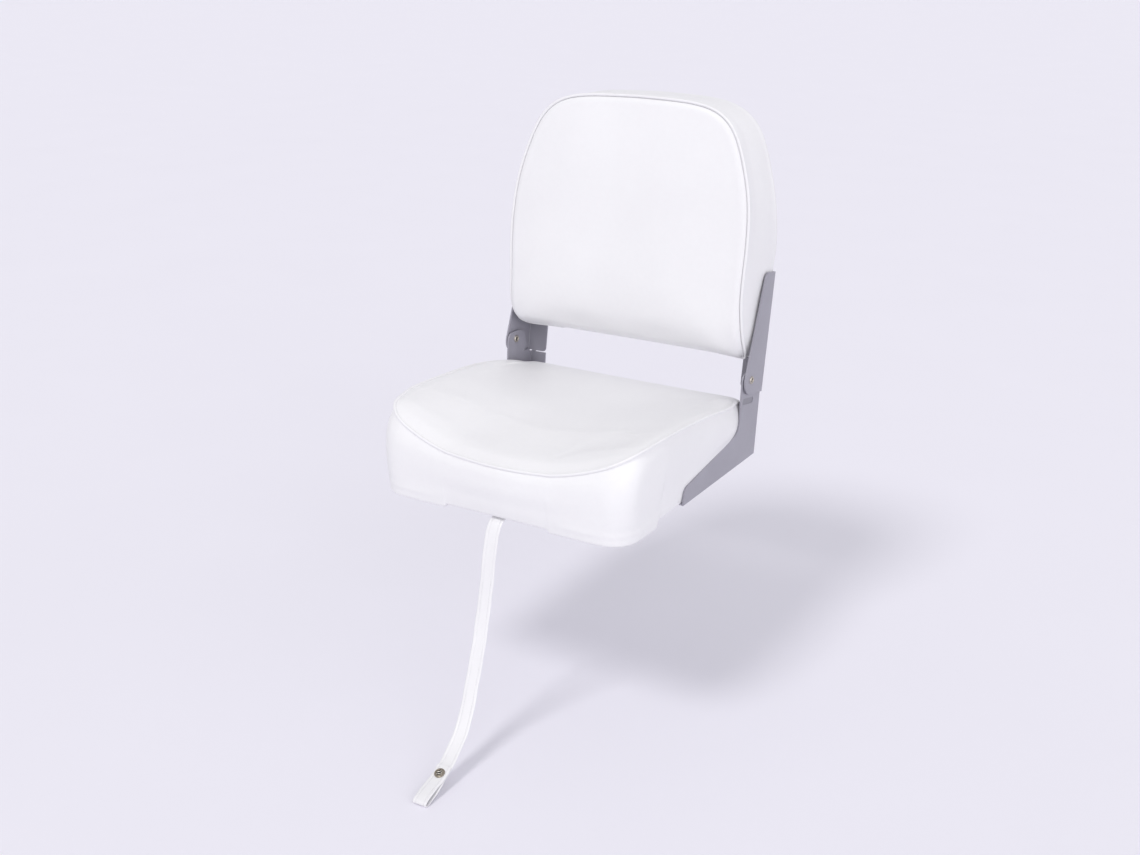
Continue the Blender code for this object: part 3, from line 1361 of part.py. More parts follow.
def make_strap():
    bm = bmesh.new()
    half = STRAP_WIDTH / 2
    thick = STRAP_THICKNESS / 2
    rows = []
    for point, across, face in strap_frames():
        corners = [point + across * a * half + face * b * thick
                   for a, b in ((-1, -1), (1, -1), (1, 1), (-1, 1))]
        rows.append([bm.verts.new(c) for c in corners])
    for first, second in zip(rows, rows[1:]):
        for index in range(4):
            after = (index + 1) % 4
            bm.faces.new((first[index], first[after], second[after], second[index]))
    bm.faces.new(rows[0])
    bm.faces.new(rows[-1])
    strap = add_object("strap", bm, WHITE_VINYL)
    bm = bmesh.new()
    point, face = snap_place(SNAP_ROUTE_INDEX)
    bore = SNAP_POST_RADIUS + GAP
    reach = 4 * STRAP_THICKNESS
    turned(bm, [(0, -reach), (bore, -reach), (bore, 2 * reach), (0, 2 * reach)],
           aim(point, face))
    bore = SCREW_RADIUS + GAP
    turned(bm, [(0, -reach), (bore, -reach), (bore, reach), (0, reach)],
           Matrix.Translation((0, STRAP_SCREW_Y, STRAP_LAY_Z)))
    boolean(strap, make_cutter("strap_hole_cutter", bm))


def make_snap():
    """Cap with its post from behind the strap, and the socket ring on the face."""
    point, face = snap_place(SNAP_ROUTE_INDEX)
    back, back_face = snap_place(len(STRAP_ROUTE) + len(STRAP_RETURN) - 2)
    stack = (back - point).dot(face)
    lower = -STRAP_THICKNESS / 2 - GAP
    upper = stack + STRAP_THICKNESS / 2 + 2 * GAP
    place = aim(point, face)
    bm = bmesh.new()
    cap = lower - SNAP_CAP_HEIGHT
    turned(bm, [(0, cap), (SNAP_CAP_RADIUS * 0.6, cap + SNAP_CAP_HEIGHT * 0.1),
                (SNAP_CAP_RADIUS, cap + SNAP_CAP_HEIGHT * 0.6), (SNAP_CAP_RADIUS, lower),
                (SNAP_POST_RADIUS, lower), (SNAP_POST_RADIUS, upper + SNAP_SOCKET_FLOOR * 1.6),
                (0, upper + SNAP_SOCKET_FLOOR * 1.6)], segments=ROUND)
    add_object("snap_cap", bm, NICKEL, place=place)
    bm = bmesh.new()
    bore = SNAP_POST_RADIUS + GAP
    rim = upper + SNAP_SOCKET_HEIGHT
    wide = SNAP_SOCKET_RADIUS
    mouth = SNAP_SOCKET_MOUTH
    turned(bm, [(bore, upper), (wide, upper), (wide, upper + SNAP_SOCKET_HEIGHT * 0.45),
                (wide * 0.86, rim), (mouth, rim), (mouth, upper + SNAP_SOCKET_FLOOR),
                (bore, upper + SNAP_SOCKET_FLOOR)], segments=ROUND)
    add_object("snap_socket", bm, NICKEL, place=place)


def make_strap_fixing():
    """Cup washer and screw that hold the strap's end under the pan."""
    face = STRAP_LAY_Z - STRAP_THICKNESS / 2 - GAP
    bm = bmesh.new()
    bore = SCREW_RADIUS + GAP
    turned(bm, [(bore, -CUP_THICKNESS), (CUP_RADIUS * 0.8, -CUP_THICKNESS), (CUP_RADIUS, 0),
                (bore, 0)])
    add_object("strap_washer", bm, STEEL, place=Matrix.Translation((0, STRAP_SCREW_Y, face)))
    place = Matrix.Translation((0, STRAP_SCREW_Y, face - CUP_THICKNESS - GAP))
    screw("strap_screw", place, BOARD_SCREW_LENGTH, STEEL)


make_strap()
make_snap()
make_strap_fixing()
print("objects", len([thing for thing in bpy.data.objects if not thing.hide_render]))
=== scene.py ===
import math

import bpy
import numpy as np
from mathutils import Matrix, Vector


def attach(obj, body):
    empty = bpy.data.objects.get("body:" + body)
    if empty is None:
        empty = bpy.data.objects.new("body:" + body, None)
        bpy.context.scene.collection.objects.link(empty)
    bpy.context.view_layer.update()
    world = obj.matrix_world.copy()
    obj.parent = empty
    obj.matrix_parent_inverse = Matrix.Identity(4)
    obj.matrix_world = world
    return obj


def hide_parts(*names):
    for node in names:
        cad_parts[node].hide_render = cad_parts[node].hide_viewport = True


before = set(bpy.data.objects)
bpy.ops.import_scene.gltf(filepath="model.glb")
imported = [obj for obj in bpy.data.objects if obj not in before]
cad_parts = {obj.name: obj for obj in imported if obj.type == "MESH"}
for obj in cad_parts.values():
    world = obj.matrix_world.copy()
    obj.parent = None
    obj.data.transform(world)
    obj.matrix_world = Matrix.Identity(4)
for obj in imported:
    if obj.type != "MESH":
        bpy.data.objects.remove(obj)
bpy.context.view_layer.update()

# %% [markdown]
# ## Camera
# The seat is seen from its front left corner and a little above. The place, turn and lens
# are the ones whose picture of the seat's known sizes matches the real view.
# %% Add the camera
CAMERA_PLACE = (0.9675, -1.62165, 0.75198)
CAMERA_TURN = (70.1495, -0.3808, 30.8833)
CAMERA_LENS = 42.8905
CAMERA_SHIFT = 0.000877

bpy.ops.object.select_all(action="DESELECT")
bpy.ops.object.camera_add(location=CAMERA_PLACE,
                          rotation=[math.radians(turn) for turn in CAMERA_TURN])
camera = bpy.context.object
camera.data.lens = CAMERA_LENS
camera.data.shift_x = CAMERA_SHIFT
camera.data.clip_end = 200
bpy.context.scene.camera = camera
print("camera:", camera.location[:])

# %% [markdown]
# ## A short way to write materials
# A material is a tree of nodes. Wrapping a socket in a small class lets plain arithmetic
# add the Math nodes, so a recipe reads like the sentence that describes the finish.
# %% Wrap sockets and materials


class Wire:
    """One output of a node; arithmetic on it adds Math nodes."""

    def __init__(self, finish, socket):
        self.finish = finish
        self.socket = socket

    def join(self, operation, first, second):
        return self.finish.node("ShaderNodeMath", {"operation": operation},
                                {0: first, 1: second})

    def __add__(self, other):
        return self.join("ADD", self, other)

    def __radd__(self, other):
        return self.join("ADD", other, self)

    def __sub__(self, other):
        return self.join("SUBTRACT", self, other)

    def __rsub__(self, other):
        return self.join("SUBTRACT", other, self)

    def __mul__(self, other):
        return self.join("MULTIPLY", self, other)

    def __rmul__(self, other):
        return self.join("MULTIPLY", other, self)


class Finish:
    """A material that is written as expressions."""

    def __init__(self, name):
        self.material = bpy.data.materials.new(name)
        self.material.use_nodes = True
        self.tree = self.material.node_tree
        self.tree.nodes.clear()

    def node(self, kind, settings=None, inputs=None, output=0):
        made = self.tree.nodes.new(kind)
        for name, value in (settings or {}).items():
            if name == "stops":
                self.set_stops(made.color_ramp, value)
            else:
                setattr(made, name, value)
        for name, value in (inputs or {}).items():
            if isinstance(value, Wire):
                self.tree.links.new(value.socket, made.inputs[name])
            else:
                made.inputs[name].default_value = value
        return Wire(self, made.outputs[output] if len(made.outputs) else None)

    def set_stops(self, ramp, stops):
        while len(ramp.elements) < len(stops):
            ramp.elements.new(1.0)
        for element, (place, value) in zip(ramp.elements, stops):
            element.position = place
            element.color = (value, value, value, 1.0)

    def place(self):
        """Object coordinates: metres in the seat's own frame."""
        return self.node("ShaderNodeTexCoord", output="Object")

    def noise(self, scale, detail=3.0, roughness=0.5):
        return self.node("ShaderNodeTexNoise", {},
                         {"Vector": self.place(), "Scale": scale, "Detail": detail,
                          "Roughness": roughness})

    def cells(self, scale, feature="F1"):
        return self.node("ShaderNodeTexVoronoi", {"feature": feature},
                         {"Vector": self.place(), "Scale": scale})

    def ramp(self, value, stops):
        return self.node("ShaderNodeValToRGB", {"stops": stops}, {"Fac": value})

    def blend(self, share, first, second):
        return self.node("ShaderNodeMix", {"data_type": "RGBA"},
                         {0: share, 6: (*first, 1.0) if isinstance(first, tuple) else first,
                          7: (*second, 1.0) if isinstance(second, tuple) else second}, 2)

    def bump(self, height, distance, strength=1.0, normal=None):
        inputs = {"Height": height, "Distance": distance, "Strength": strength}
        if normal is not None:
            inputs["Normal"] = normal
        return self.node("ShaderNodeBump", {}, inputs)

    def surface(self, **sockets):
        shader = self.node("ShaderNodeBsdfPrincipled", {},
                           {name.replace("_", " "): value for name, value in sockets.items()})
        self.node("ShaderNodeOutputMaterial", {}, {"Surface": shader})
        return self.material


# %% [markdown]
# ## Marine vinyl
# The covers are coated cloth: a bright, slightly cool white with a fine leather emboss and
# a soft satin shine. Small cells under a little noise give the emboss; broad noise lets the
# tone and the shine drift a little, as they do where the foam presses from inside.
# %% Make the white vinyl
VINYL_WHITE = (0.842, 0.839, 0.850)
VINYL_SHADE = (0.812, 0.807, 0.820)


def white_vinyl(name, cell_scale, grain_depth, wave_depth):
    vinyl = Finish(name)
    drift = vinyl.noise(7.0, 2.0)
    speck = vinyl.noise(140.0, 4.0, 0.6)
    tone = vinyl.ramp(drift * 0.75 + speck * 0.25, [(0.36, 0.0), (0.66, 1.0)])
    crease = vinyl.ramp(vinyl.cells(cell_scale, "DISTANCE_TO_EDGE"), [(0.0, 0.0), (0.16, 1.0)])
    pore = vinyl.noise(cell_scale * 0.55, 3.0, 0.6)
    grain = crease * 0.65 + pore * 0.55
    wave = vinyl.bump(vinyl.noise(9.0, 1.0), wave_depth)
    colour = vinyl.blend(tone, VINYL_SHADE, VINYL_WHITE)
    return vinyl.surface(Base_Color=colour, Roughness=0.40 - tone * 0.05 + speck * 0.06,
                         Normal=vinyl.bump(grain, grain_depth, 0.6, wave),
                         Coat_Weight=0.12, Coat_Roughness=0.32, Specular_IOR_Level=0.42,
                         Sheen_Weight=0.05)


VINYL = white_vinyl("white_vinyl_emboss", 950.0, 0.00009, 0.0012)
PIPING_VINYL = white_vinyl("white_vinyl_piping", 1300.0, 0.00005, 0.0002)
print("materials:", VINYL.name, PIPING_VINYL.name)

# %% [markdown]
# ## Curves for soft goods
# A seam, a strap and a welt are all drawn as a few points that a smooth curve passes
# through, and then read off at even steps.
# %% Draw smooth curves


def smooth_curve(points, steps):
    """Catmull-Rom curve through the points."""
    points = [Vector(p) for p in points]
    curve = []
    for index in range(len(points) - 1):
        b, c = points[index], points[index + 1]
        a = points[index - 1] if index else b * 2 - c
        d = points[index + 2] if index + 2 < len(points) else c * 2 - b
        for step in range(steps):
            t = step / steps
            curve.append(0.5 * (2 * b + (c - a) * t + (2 * a - 5 * b + 4 * c - d) * t * t
                                + (3 * b - a - 3 * c + d) * t ** 3))
    return curve + [points[-1]]


def lengths_along(points):
    total = [0.0]
    for first, second in zip(points, points[1:]):
        total.append(total[-1] + (second - first).length)
    return total


def sample(points, shares):
    """Points at given shares of a polyline's length."""
    total = lengths_along(points)
    found = []
    for share in shares:
        want = share * total[-1]
        index = 0
        while index < len(points) - 2 and total[index + 1] < want:
            index += 1
        span = total[index + 1] - total[index]
        found.append(points[index].lerp(points[index + 1], (want - total[index]) / span))
    return found


def even_points(points, step):
    count = max(round(lengths_along(points)[-1] / step), 2)
    return sample(points, [index / count for index in range(count + 1)])


# %% Make meshes into pieces


def show_mesh(name, mesh, *materials):
    """Put a mesh in the scene as a piece at the origin."""
    for material in materials:
        mesh.materials.append(material)
    piece = bpy.data.objects.new(name, mesh)
    bpy.context.scene.collection.objects.link(piece)
    return piece


def mesh_piece(name, corners, faces, material):
    """A piece from points and faces."""
    mesh = bpy.data.meshes.new(name)
    mesh.from_pydata([tuple(c) for c in corners], [], faces)
    return show_mesh(name, mesh, material)


def ring_faces(rows, count):
    """Four-sided faces that join each ring of count points to the next."""
    return [(low + k, low + (k + 1) % count, low + count + (k + 1) % count, low + count + k)
            for low in range(0, (rows - 1) * count, count) for k in range(count)]


def only(piece):
    """Make one piece the selected and active one."""
    bpy.ops.object.select_all(action="DESELECT")
    piece.select_set(True)
    bpy.context.view_layer.objects.active = piece


def face_outward(piece):
    """Turn every face of a piece outward."""
    only(piece)
    bpy.ops.object.mode_set(mode="EDIT")
    bpy.ops.mesh.select_all(action="SELECT")
    bpy.ops.mesh.normals_make_consistent(inside=False)
    bpy.ops.object.mode_set(mode="OBJECT")


def apply_modifier(piece, kind, **settings):
    only(piece)
    modifier = piece.modifiers.new(kind.title(), kind)
    for name, value in settings.items():
        setattr(modifier, name, value)
    bpy.ops.object.modifier_apply(modifier=modifier.name)


def smooth(piece, degrees=40):
    only(piece)
    bpy.ops.object.shade_smooth_by_angle(angle=math.radians(degrees))


def finish_piece(piece, body, slot, *replaced):
    """Say where a piece belongs."""
    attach(piece, body)
    if replaced:
        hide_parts(*replaced)
    count = sum(len(face.vertices) - 2 for face in piece.data.polygons)
    print(f"{piece.name}: {count} triangles on {body}")


# %% [markdown]
# ## Hold-down strap
# A 22 mm band of folded vinyl leaves the pan under the front edge, hangs to the floor, lies
# there and folds back over itself under the snap. A flat band is modelled directly: one
# cross-section carried along the route, because a cloth simulation would crumple it.
# %% Carry the band along its route
STRAP_WIDTH = 0.022
STRAP_THICK = 0.0016
STRAP_ROUTE = (
    (0.0000, -0.1380, -0.0044), (0.0000, -0.1500, -0.0044), (0.0000, -0.1640, -0.0044),
    (0.0000, -0.1780, -0.0047), (0.0000, -0.1885, -0.0080), (0.0000, -0.1955, -0.0163),
    (0.0000, -0.2024, -0.0335), (0.0000, -0.2096, -0.0609), (0.0000, -0.2152, -0.0893),
    (0.0000, -0.2212, -0.1178), (0.0003, -0.2284, -0.1454), (0.0010, -0.2372, -0.1727),
    (0.0022, -0.2476, -0.1991), (0.0040, -0.2597, -0.2243), (0.0066, -0.2738, -0.2485),
    (0.0098, -0.2897, -0.2704), (0.0135, -0.3100, -0.2893), (0.0163, -0.3345, -0.3045),
    (0.0180, -0.3600, -0.3156), (0.0195, -0.3800, -0.3239), (0.0204, -0.3950, -0.3299),
    (0.0206, -0.4045, -0.3332), (0.0205, -0.4096, -0.3328), (0.0202, -0.4105, -0.3291),
    (0.0197, -0.4040, -0.3256), (0.0192, -0.3940, -0.3228), (0.0187, -0.3835, -0.3206),
    (0.0183, -0.3720, -0.3181), (0.0180, -0.3609, -0.3135), (0.0170, -0.3490, -0.3084),
)
ROUTE_STEPS = 12
BAND_STEP = 0.0026
STITCH_INSET = 0.0045
strap_line = even_points(smooth_curve(STRAP_ROUTE, ROUTE_STEPS), BAND_STEP)
strap_length = lengths_along(strap_line)[-1]


def strap_frames(line):
    """Point, width direction and face direction all along the band."""
    found = []
    for index, point in enumerate(line):
        along = (line[min(index + 1, len(line) - 1)] - line[max(index - 1, 0)]).normalized()
        across = Vector((1, 0, 0))
        across = (across - along * across.dot(along)).normalized()
        found.append((point, across, across.cross(along).normalized(), along))
    return found


def band_section():
    """Half a millimetre thicker along the folded edges and dented under the stitches."""
    half = STRAP_WIDTH / 2
    shares = (-1.0, -0.975, -0.93, -0.80, -0.67, -0.62, -0.591, -0.56, -0.51, -0.28, 0.0,
              0.28, 0.51, 0.56, 0.591, 0.62, 0.67, 0.80, 0.93, 0.975, 1.0)
    heights = (0.20, 0.72, 1.00, 1.10, 1.04, 0.82, 0.46, 0.78, 0.96, 0.90, 0.86,
               0.90, 0.96, 0.78, 0.46, 0.82, 1.04, 1.10, 1.00, 0.72, 0.20)
    top = [(a * half, h * STRAP_THICK / 2) for a, h in zip(shares, heights)]
    return top + [(a, -h) for a, h in reversed(top)]


def make_strap():
    section = band_section()
    corners = []
    frames = strap_frames(strap_line)
    for index, (point, across, face, _) in enumerate(frames):
        s = index * BAND_STEP
        sway = 0.00035 * math.sin(s * 61.0) + 0.00025 * math.sin(s * 143.0 + 1.0)
        for a, b in section:
            cup = 0.0005 * (2 * abs(a) / STRAP_WIDTH) ** 2 * math.sin(s * 47.0)
            corners.append(point + across * (a + sway) + face * (b + cup))
    count = len(section)
    faces = ring_faces(len(frames), count)
    faces += [tuple(reversed(range(count))),
              tuple(range((len(frames) - 1) * count, len(frames) * count))]
    band = mesh_piece("strap_band", corners, faces, VINYL)
    face_outward(band)
    smooth(band, 60)
    return band


strap_band = make_strap()
finish_piece(strap_band, "seat", "white_vinyl", "strap")
print("strap length:", round(strap_length, 4))

# %% [markdown]
# ## Stitches
# The strap is sewn along both edges with white thread. One stitch is a small capsule,
# modelled once and repeated along the dented line that the thread pulls.
# %% Sew the strap
THREAD = Finish("white_thread")
twist = THREAD.node("ShaderNodeTexWave", {"bands_direction": "DIAGONAL"},
                    {"Vector": THREAD.place(), "Scale": 900.0, "Distortion": 1.0})
THREAD = THREAD.surface(Base_Color=(0.80, 0.79, 0.82, 1.0), Roughness=0.55,
                        Normal=THREAD.bump(twist, 0.0001))
STITCH_PITCH = 0.0042
STITCH_LENGTH = 0.0031
THREAD_RADIUS = 0.00032


def stitch_shape():
    """One capsule of thread along X."""
    bpy.ops.object.select_all(action="DESELECT")
    bpy.ops.mesh.primitive_uv_sphere_add(segments=6, ring_count=5, radius=1.0)
    one = bpy.context.object
    corners = np.array([v.co for v in one.data.vertices])
    faces = [tuple(f.vertices) for f in one.data.polygons]
    bpy.data.objects.remove(one)
    corners = corners[:, [2, 0, 1]] * (STITCH_LENGTH / 2, THREAD_RADIUS * 1.25, THREAD_RADIUS)
    return corners, faces


def sew(name, places, body):
    """Stitches at places, each a point with its along and up directions."""
    shape, shape_faces = stitch_shape()
    corners, faces = [], []
    for point, along, up in places:
        base = len(corners)
        turn = np.array([along, up.cross(along), up])
        corners.extend(np.array(point) + shape @ turn)
        faces.extend(tuple(base + i for i in face) for face in shape_faces)
    piece = mesh_piece(name, corners, faces, THREAD)
    smooth(piece, 80)
    finish_piece(piece, body, "white_vinyl")
    return piece


stitch_places = []
fine_line = even_points(strap_line, STITCH_PITCH)
for point, across, face, along in strap_frames(fine_line):
    for side in (-1, 1):
        edge = side * (STRAP_WIDTH / 2 - STITCH_INSET)
        for up in (-1, 1):
            spot = point + across * edge + face * up * (STRAP_THICK * 0.23 + THREAD_RADIUS * 0.6)
            stitch_places.append((spot, along, face * up))
strap_stitches = sew("strap_stitches", stitch_places, "seat")

# %% [markdown]
# ## How the cushions are built
# A boxed cushion is a top panel and a side band sewn together round foam. A cage of rings
# follows its outline from the stapled hem, up the band to the seam and in over the crown,
# where a patch of squares closes the top, so that no point gathers the folds. Subdivision
# rounds the cage, and a cloth simulation under light pressure lets the free vinyl swell
# between the seam, the hem and the brackets, which hold it.
# %% Lay rings and a patch
PIVOT = Vector((0, 0.180, 0.131))
LEAN = math.radians(8.97)
SHEET = 0.0025
GAP = 0.0003
UPPER_OUTER_X = 0.2125
UPPER_INNER_X = UPPER_OUTER_X - SHEET
LOWER_INNER_X = UPPER_INNER_X - 0.0014 - SHEET
PIPING_RADIUS = 0.0023
PIPING_STAND_OFF = 0.0020
BACK_PLACE = Matrix.Translation(PIVOT) @ Matrix.Rotation(-LEAN, 4, "X")


def mirror_half(half):
    """Close a half outline whose ends lie on the middle plane into a whole loop."""
    return half + [Vector((-p.x, p.y, p.z)) for p in reversed(half[1:-1])]


def flat_outward(ring, up):
    """Outward directions of a closed ring, square to the given axis."""
    count = len(ring)
    return [(ring[(i + 1) % count] - ring[i - 1]).cross(up).normalized() for i in range(count)]


def in_plan(points):
    """The points laid flat on the ground plane."""
    return [Vector((p.x, p.y, 0)) for p in points]


def bezier(a, b, c, d, t):
    s = 1 - t
    return a * s ** 3 + b * 3 * s * s * t + c * 3 * s * t * t + d * t ** 3


def read_table(table, share):
    """Linear reading of a two-column table."""
    for (a, first), (b, second) in zip(table, table[1:]):
        if share <= b:
            return first + (second - first) * (share - a) / (b - a)
    return table[-1][1]


def crown_height(known, axis):
    """A function that reads the crown's height over its plan from many known points."""
    known = np.array([tuple(p) for p in known])
    plan = np.delete(known, axis, axis=1)

    def height(point):
        gap = np.linalg.norm(plan - np.delete(np.array(point), axis), axis=1)
        near = np.argsort(gap)[:8]
        weight = 1 / (gap[near] + 1e-4) ** 2
        return float((known[near, axis] * weight).sum() / weight.sum())
    return height


def with_crown(rings, crown, directions, shares, axis):
    """Add the crown's first rings inside the seam, and read its height from the rest."""
    starts = list(zip(rings[-1], directions))
    known = [crown(start, n, t) for start, n in starts for t in np.linspace(0.2, 1.0, 33)]
    rings = rings + [[crown(start, n, t) for start, n in starts] for t in shares]
    return rings, crown_height(known, axis)


def patch(ring, wide, height, axis):
    """Grid points inside a ring, wide squares across, blended from its four sides."""
    count = len(ring)
    deep = count // 2 - wide
    left = -(wide // 2)
    front = [ring[left + i] for i in range(wide + 1)]
    right = [ring[(left + wide + j) % count] for j in range(deep + 1)]
    rear = [ring[(left + wide + deep + wide - i) % count] for i in range(wide + 1)]
    side = [ring[left - j] for j in range(deep + 1)]
    inner = {}
    for j in range(1, deep):
        for i in range(1, wide):
            u, v = i / wide, j / deep
            spot = (front[i] * (1 - v) + rear[i] * v + side[j] * (1 - u) + right[j] * u
                    - front[0] * (1 - u) * (1 - v) - front[-1] * u * (1 - v)
                    - rear[0] * (1 - u) * v - rear[-1] * u * v)
            spot[axis] = height(spot)
            inner[i, j] = spot
    return inner, deep, left


def cage(name, rings, wide, height, axis, seam_index):
    """The whole cage as a mesh with a creased seam, open at the hem."""
    count = len(rings[0])
    corners = [p for ring in rings for p in ring]
    faces = ring_faces(len(rings), count)
    inner, deep, left = patch(rings[-1], wide, height, axis)
    last = (len(rings) - 1) * count
    number = {}
    for i in range(wide + 1):
        number[i, 0] = last + (left + i) % count
        number[i, deep] = last + (left + wide + deep + wide - i) % count
    for j in range(deep + 1):
        number[0, j] = last + (left - j) % count
        number[wide, j] = last + (left + wide + j) % count
    for key, spot in inner.items():
        number[key] = len(corners)
        corners.append(spot)
    for j in range(deep):
        for i in range(wide):
            faces.append((number[i, j], number[i + 1, j], number[i + 1, j + 1], number[i, j + 1]))
    piece = mesh_piece(name, corners, faces, VINYL)
    seam = piece.vertex_groups.new(name="seam")
    seam.add([seam_index * count + k for k in range(count)], 1.0, "REPLACE")
    sharp = piece.data.attributes.new("crease_edge", "FLOAT", "EDGE")
    lows = seam_index * count
    for edge in piece.data.edges:
        if all(lows <= v < lows + count for v in edge.vertices):
            sharp.data[edge.index].value = 1.0
    face_outward(piece)
    return piece


# %% Read points, normals and loops of a mesh


def points_of(piece, wanted="co"):
    flat = np.empty(len(piece.data.vertices) * 3)
    piece.data.vertices.foreach_get(wanted, flat)
    return flat.reshape(-1, 3)


def normals_of(piece):
    return points_of(piece, "normal")


def set_points(piece, points):
    piece.data.vertices.foreach_set("co", points.ravel())
    piece.data.update()


def group_values(piece, name):
    index = piece.vertex_groups[name].index
    return np.array([next((g.weight for g in v.groups if g.group == index), 0.0)
                     for v in piece.data.vertices])


def walk(piece, chosen):
    """The chosen points' loop in order, from its front middle towards +X."""
    beside = {int(i): [] for i in chosen}
    for edge in piece.data.edges:
        a, b = edge.vertices
        if a in beside and b in beside:
            beside[a].append(b)
            beside[b].append(a)
    points = points_of(piece)
    start = min(beside, key=lambda i: (round(abs(points[i, 0]), 5), points[i, 2], points[i, 1]))
    onward = max(beside[start], key=lambda i: points[i, 0])
    loop = [start, onward]
    while True:
        after = [i for i in beside[loop[-1]] if i != loop[-2]]
        if not after or after[0] == start:
            return loop
        loop.append(after[0])


def seam_loop(piece):
    return walk(piece, np.nonzero(group_values(piece, "seam") > 0.99)[0])


def open_loop(piece):
    """The loop of points on the hem's open edge."""
    uses = {}
    for face in piece.data.polygons:
        for key in face.edge_keys:
            uses[key] = uses.get(key, 0) + 1
    return walk(piece, sorted({v for key, times in uses.items() if times == 1 for v in key}))


def distance_to(points, line):
    """Distance from each point to the nearest point of a line."""
    line = np.array([tuple(p) for p in line])
    near = np.full(len(points), 1e9)
    for start in range(0, len(line), 64):
        part = line[start:start + 64]
        gap = np.linalg.norm(points[:, None, :] - part[None, :, :], axis=2).min(1)
        near = np.minimum(near, gap)
    return near


def fade(values, low, high):
    """1 below low, 0 above high, smooth between."""
    t = np.clip((values - low) / (high - low), 0, 1)
    return 1 - t * t * (3 - 2 * t)


# %% Swell a cushion with the cloth simulation
SIM_FRAMES = 20
SIM_PRESSURE = 4.0
SIM_EVENING = 60
SIM_BROAD = 0.85
SIM_FINE = 0.15
SIM_SINK = 0.0030
SIM_CAP = 0.0030
SEAM_DRAW = 0.0010
SEAM_REACH = 0.0022
INNER_LIFT = 0.0015
INNER_CLEAR = 0.0030


def even_out(piece, move, passes):
    """Average the move with the neighbours', so that taut vinyl keeps the broad swell only."""
    ends = np.empty(len(piece.data.edges) * 2, int)
    piece.data.edges.foreach_get("vertices", ends)
    first, second = ends.reshape(-1, 2).T
    uses = np.bincount(ends, minlength=len(move))[:, None]
    for _ in range(passes):
        total = np.zeros_like(move)
        np.add.at(total, first, move[second])
        np.add.at(total, second, move[first])
        move = (move + total / uses) / 2
    return move


def swell(piece, held):
    """Push the free vinyl out from a slightly smaller start, and keep the move small."""
    shape = points_of(piece)
    free = (1 - held)[:, None]
    set_points(piece, shape - normals_of(piece) * SIM_SINK * free)
    pins = piece.vertex_groups.new(name="pins")
    for index, weight in enumerate(held):
        pins.add([index], float(weight), "REPLACE")
    only(piece)
    cloth = piece.modifiers.new("Cloth", "CLOTH")
    cloth.settings.quality = 5
    cloth.settings.mass = 0.3
    cloth.settings.tension_stiffness = 25
    cloth.settings.compression_stiffness = 15
    cloth.settings.bending_stiffness = 2.0
    cloth.settings.use_pressure = True
    cloth.settings.uniform_pressure_force = SIM_PRESSURE
    cloth.settings.effector_weights.gravity = 0
    cloth.settings.vertex_group_mass = "pins"
    cloth.point_cache.frame_start = 1
    cloth.point_cache.frame_end = SIM_FRAMES
    for number in range(1, SIM_FRAMES + 1):
        bpy.context.scene.frame_set(number)
    bpy.ops.object.modifier_apply(modifier=cloth.name)
    bpy.context.scene.frame_set(1)
    move = points_of(piece) - shape
    move = even_out(piece, move, SIM_EVENING) * SIM_BROAD + move * SIM_FINE
    size = np.linalg.norm(move, axis=1, keepdims=True)
    print(piece.name, "moved by up to", round(float(size.max()) * 1000, 1), "mm, mean",
          round(float(size.mean()) * 1000, 2))
    move *= SIM_CAP * np.tanh(size / SIM_CAP) / np.maximum(size, 1e-9)
    set_points(piece, shape + move * free)
    piece.vertex_groups.remove(piece.vertex_groups["pins"])


def pull_seam(piece):
    """Draw the vinyl in beside the seam, where the stitches hold it down."""
    loop = seam_loop(piece)
    points = points_of(piece)
    gap = distance_to(points, [points[i] for i in loop])
    draw = SEAM_DRAW * np.exp(-(gap / SEAM_REACH) ** 2)
    set_points(piece, points - normals_of(piece) * draw[:, None])


def grow(cushion, held):
    """Swell a rounded cage, round it again, draw its seam in and hand back the seam."""
    points = points_of(cushion)
    swell(cushion, held(points, [points[i] for i in seam_loop(cushion)]))
    apply_modifier(cushion, "SUBSURF", levels=1, render_levels=1)
    points = points_of(cushion)
    seam = [Vector(points[i]) for i in seam_loop(cushion)]
    pull_seam(cushion)
    return seam


def close_inside(piece, inner_rings):
    """Add the vinyl's wall inside the hem and close the hollow with strips across."""
    loop = open_loop(piece)
    points = [Vector(p) for p in points_of(piece)]
    faces = [tuple(f.vertices) for f in piece.data.polygons]
    last = loop
    count = len(loop)
    for ring in inner_rings([points[i] for i in loop]):
        fresh = list(range(len(points), len(points) + count))
        points.extend(ring)
        for k in range(count):
            after = (k + 1) % count
            faces.append((last[k], last[after], fresh[after], fresh[k]))
        last = fresh
    half = count // 2
    for k in range(half):
        strip = [last[k], last[k + 1], last[-k - 1], last[-k] if k else last[0]]
        faces.append(tuple(dict.fromkeys(strip)))
    name = piece.name
    piece.name = name + "_open"
    whole = mesh_piece(name, points, faces, VINYL)
    bpy.data.objects.remove(piece)
    face_outward(whole)
    smooth(whole, 48)
    return whole


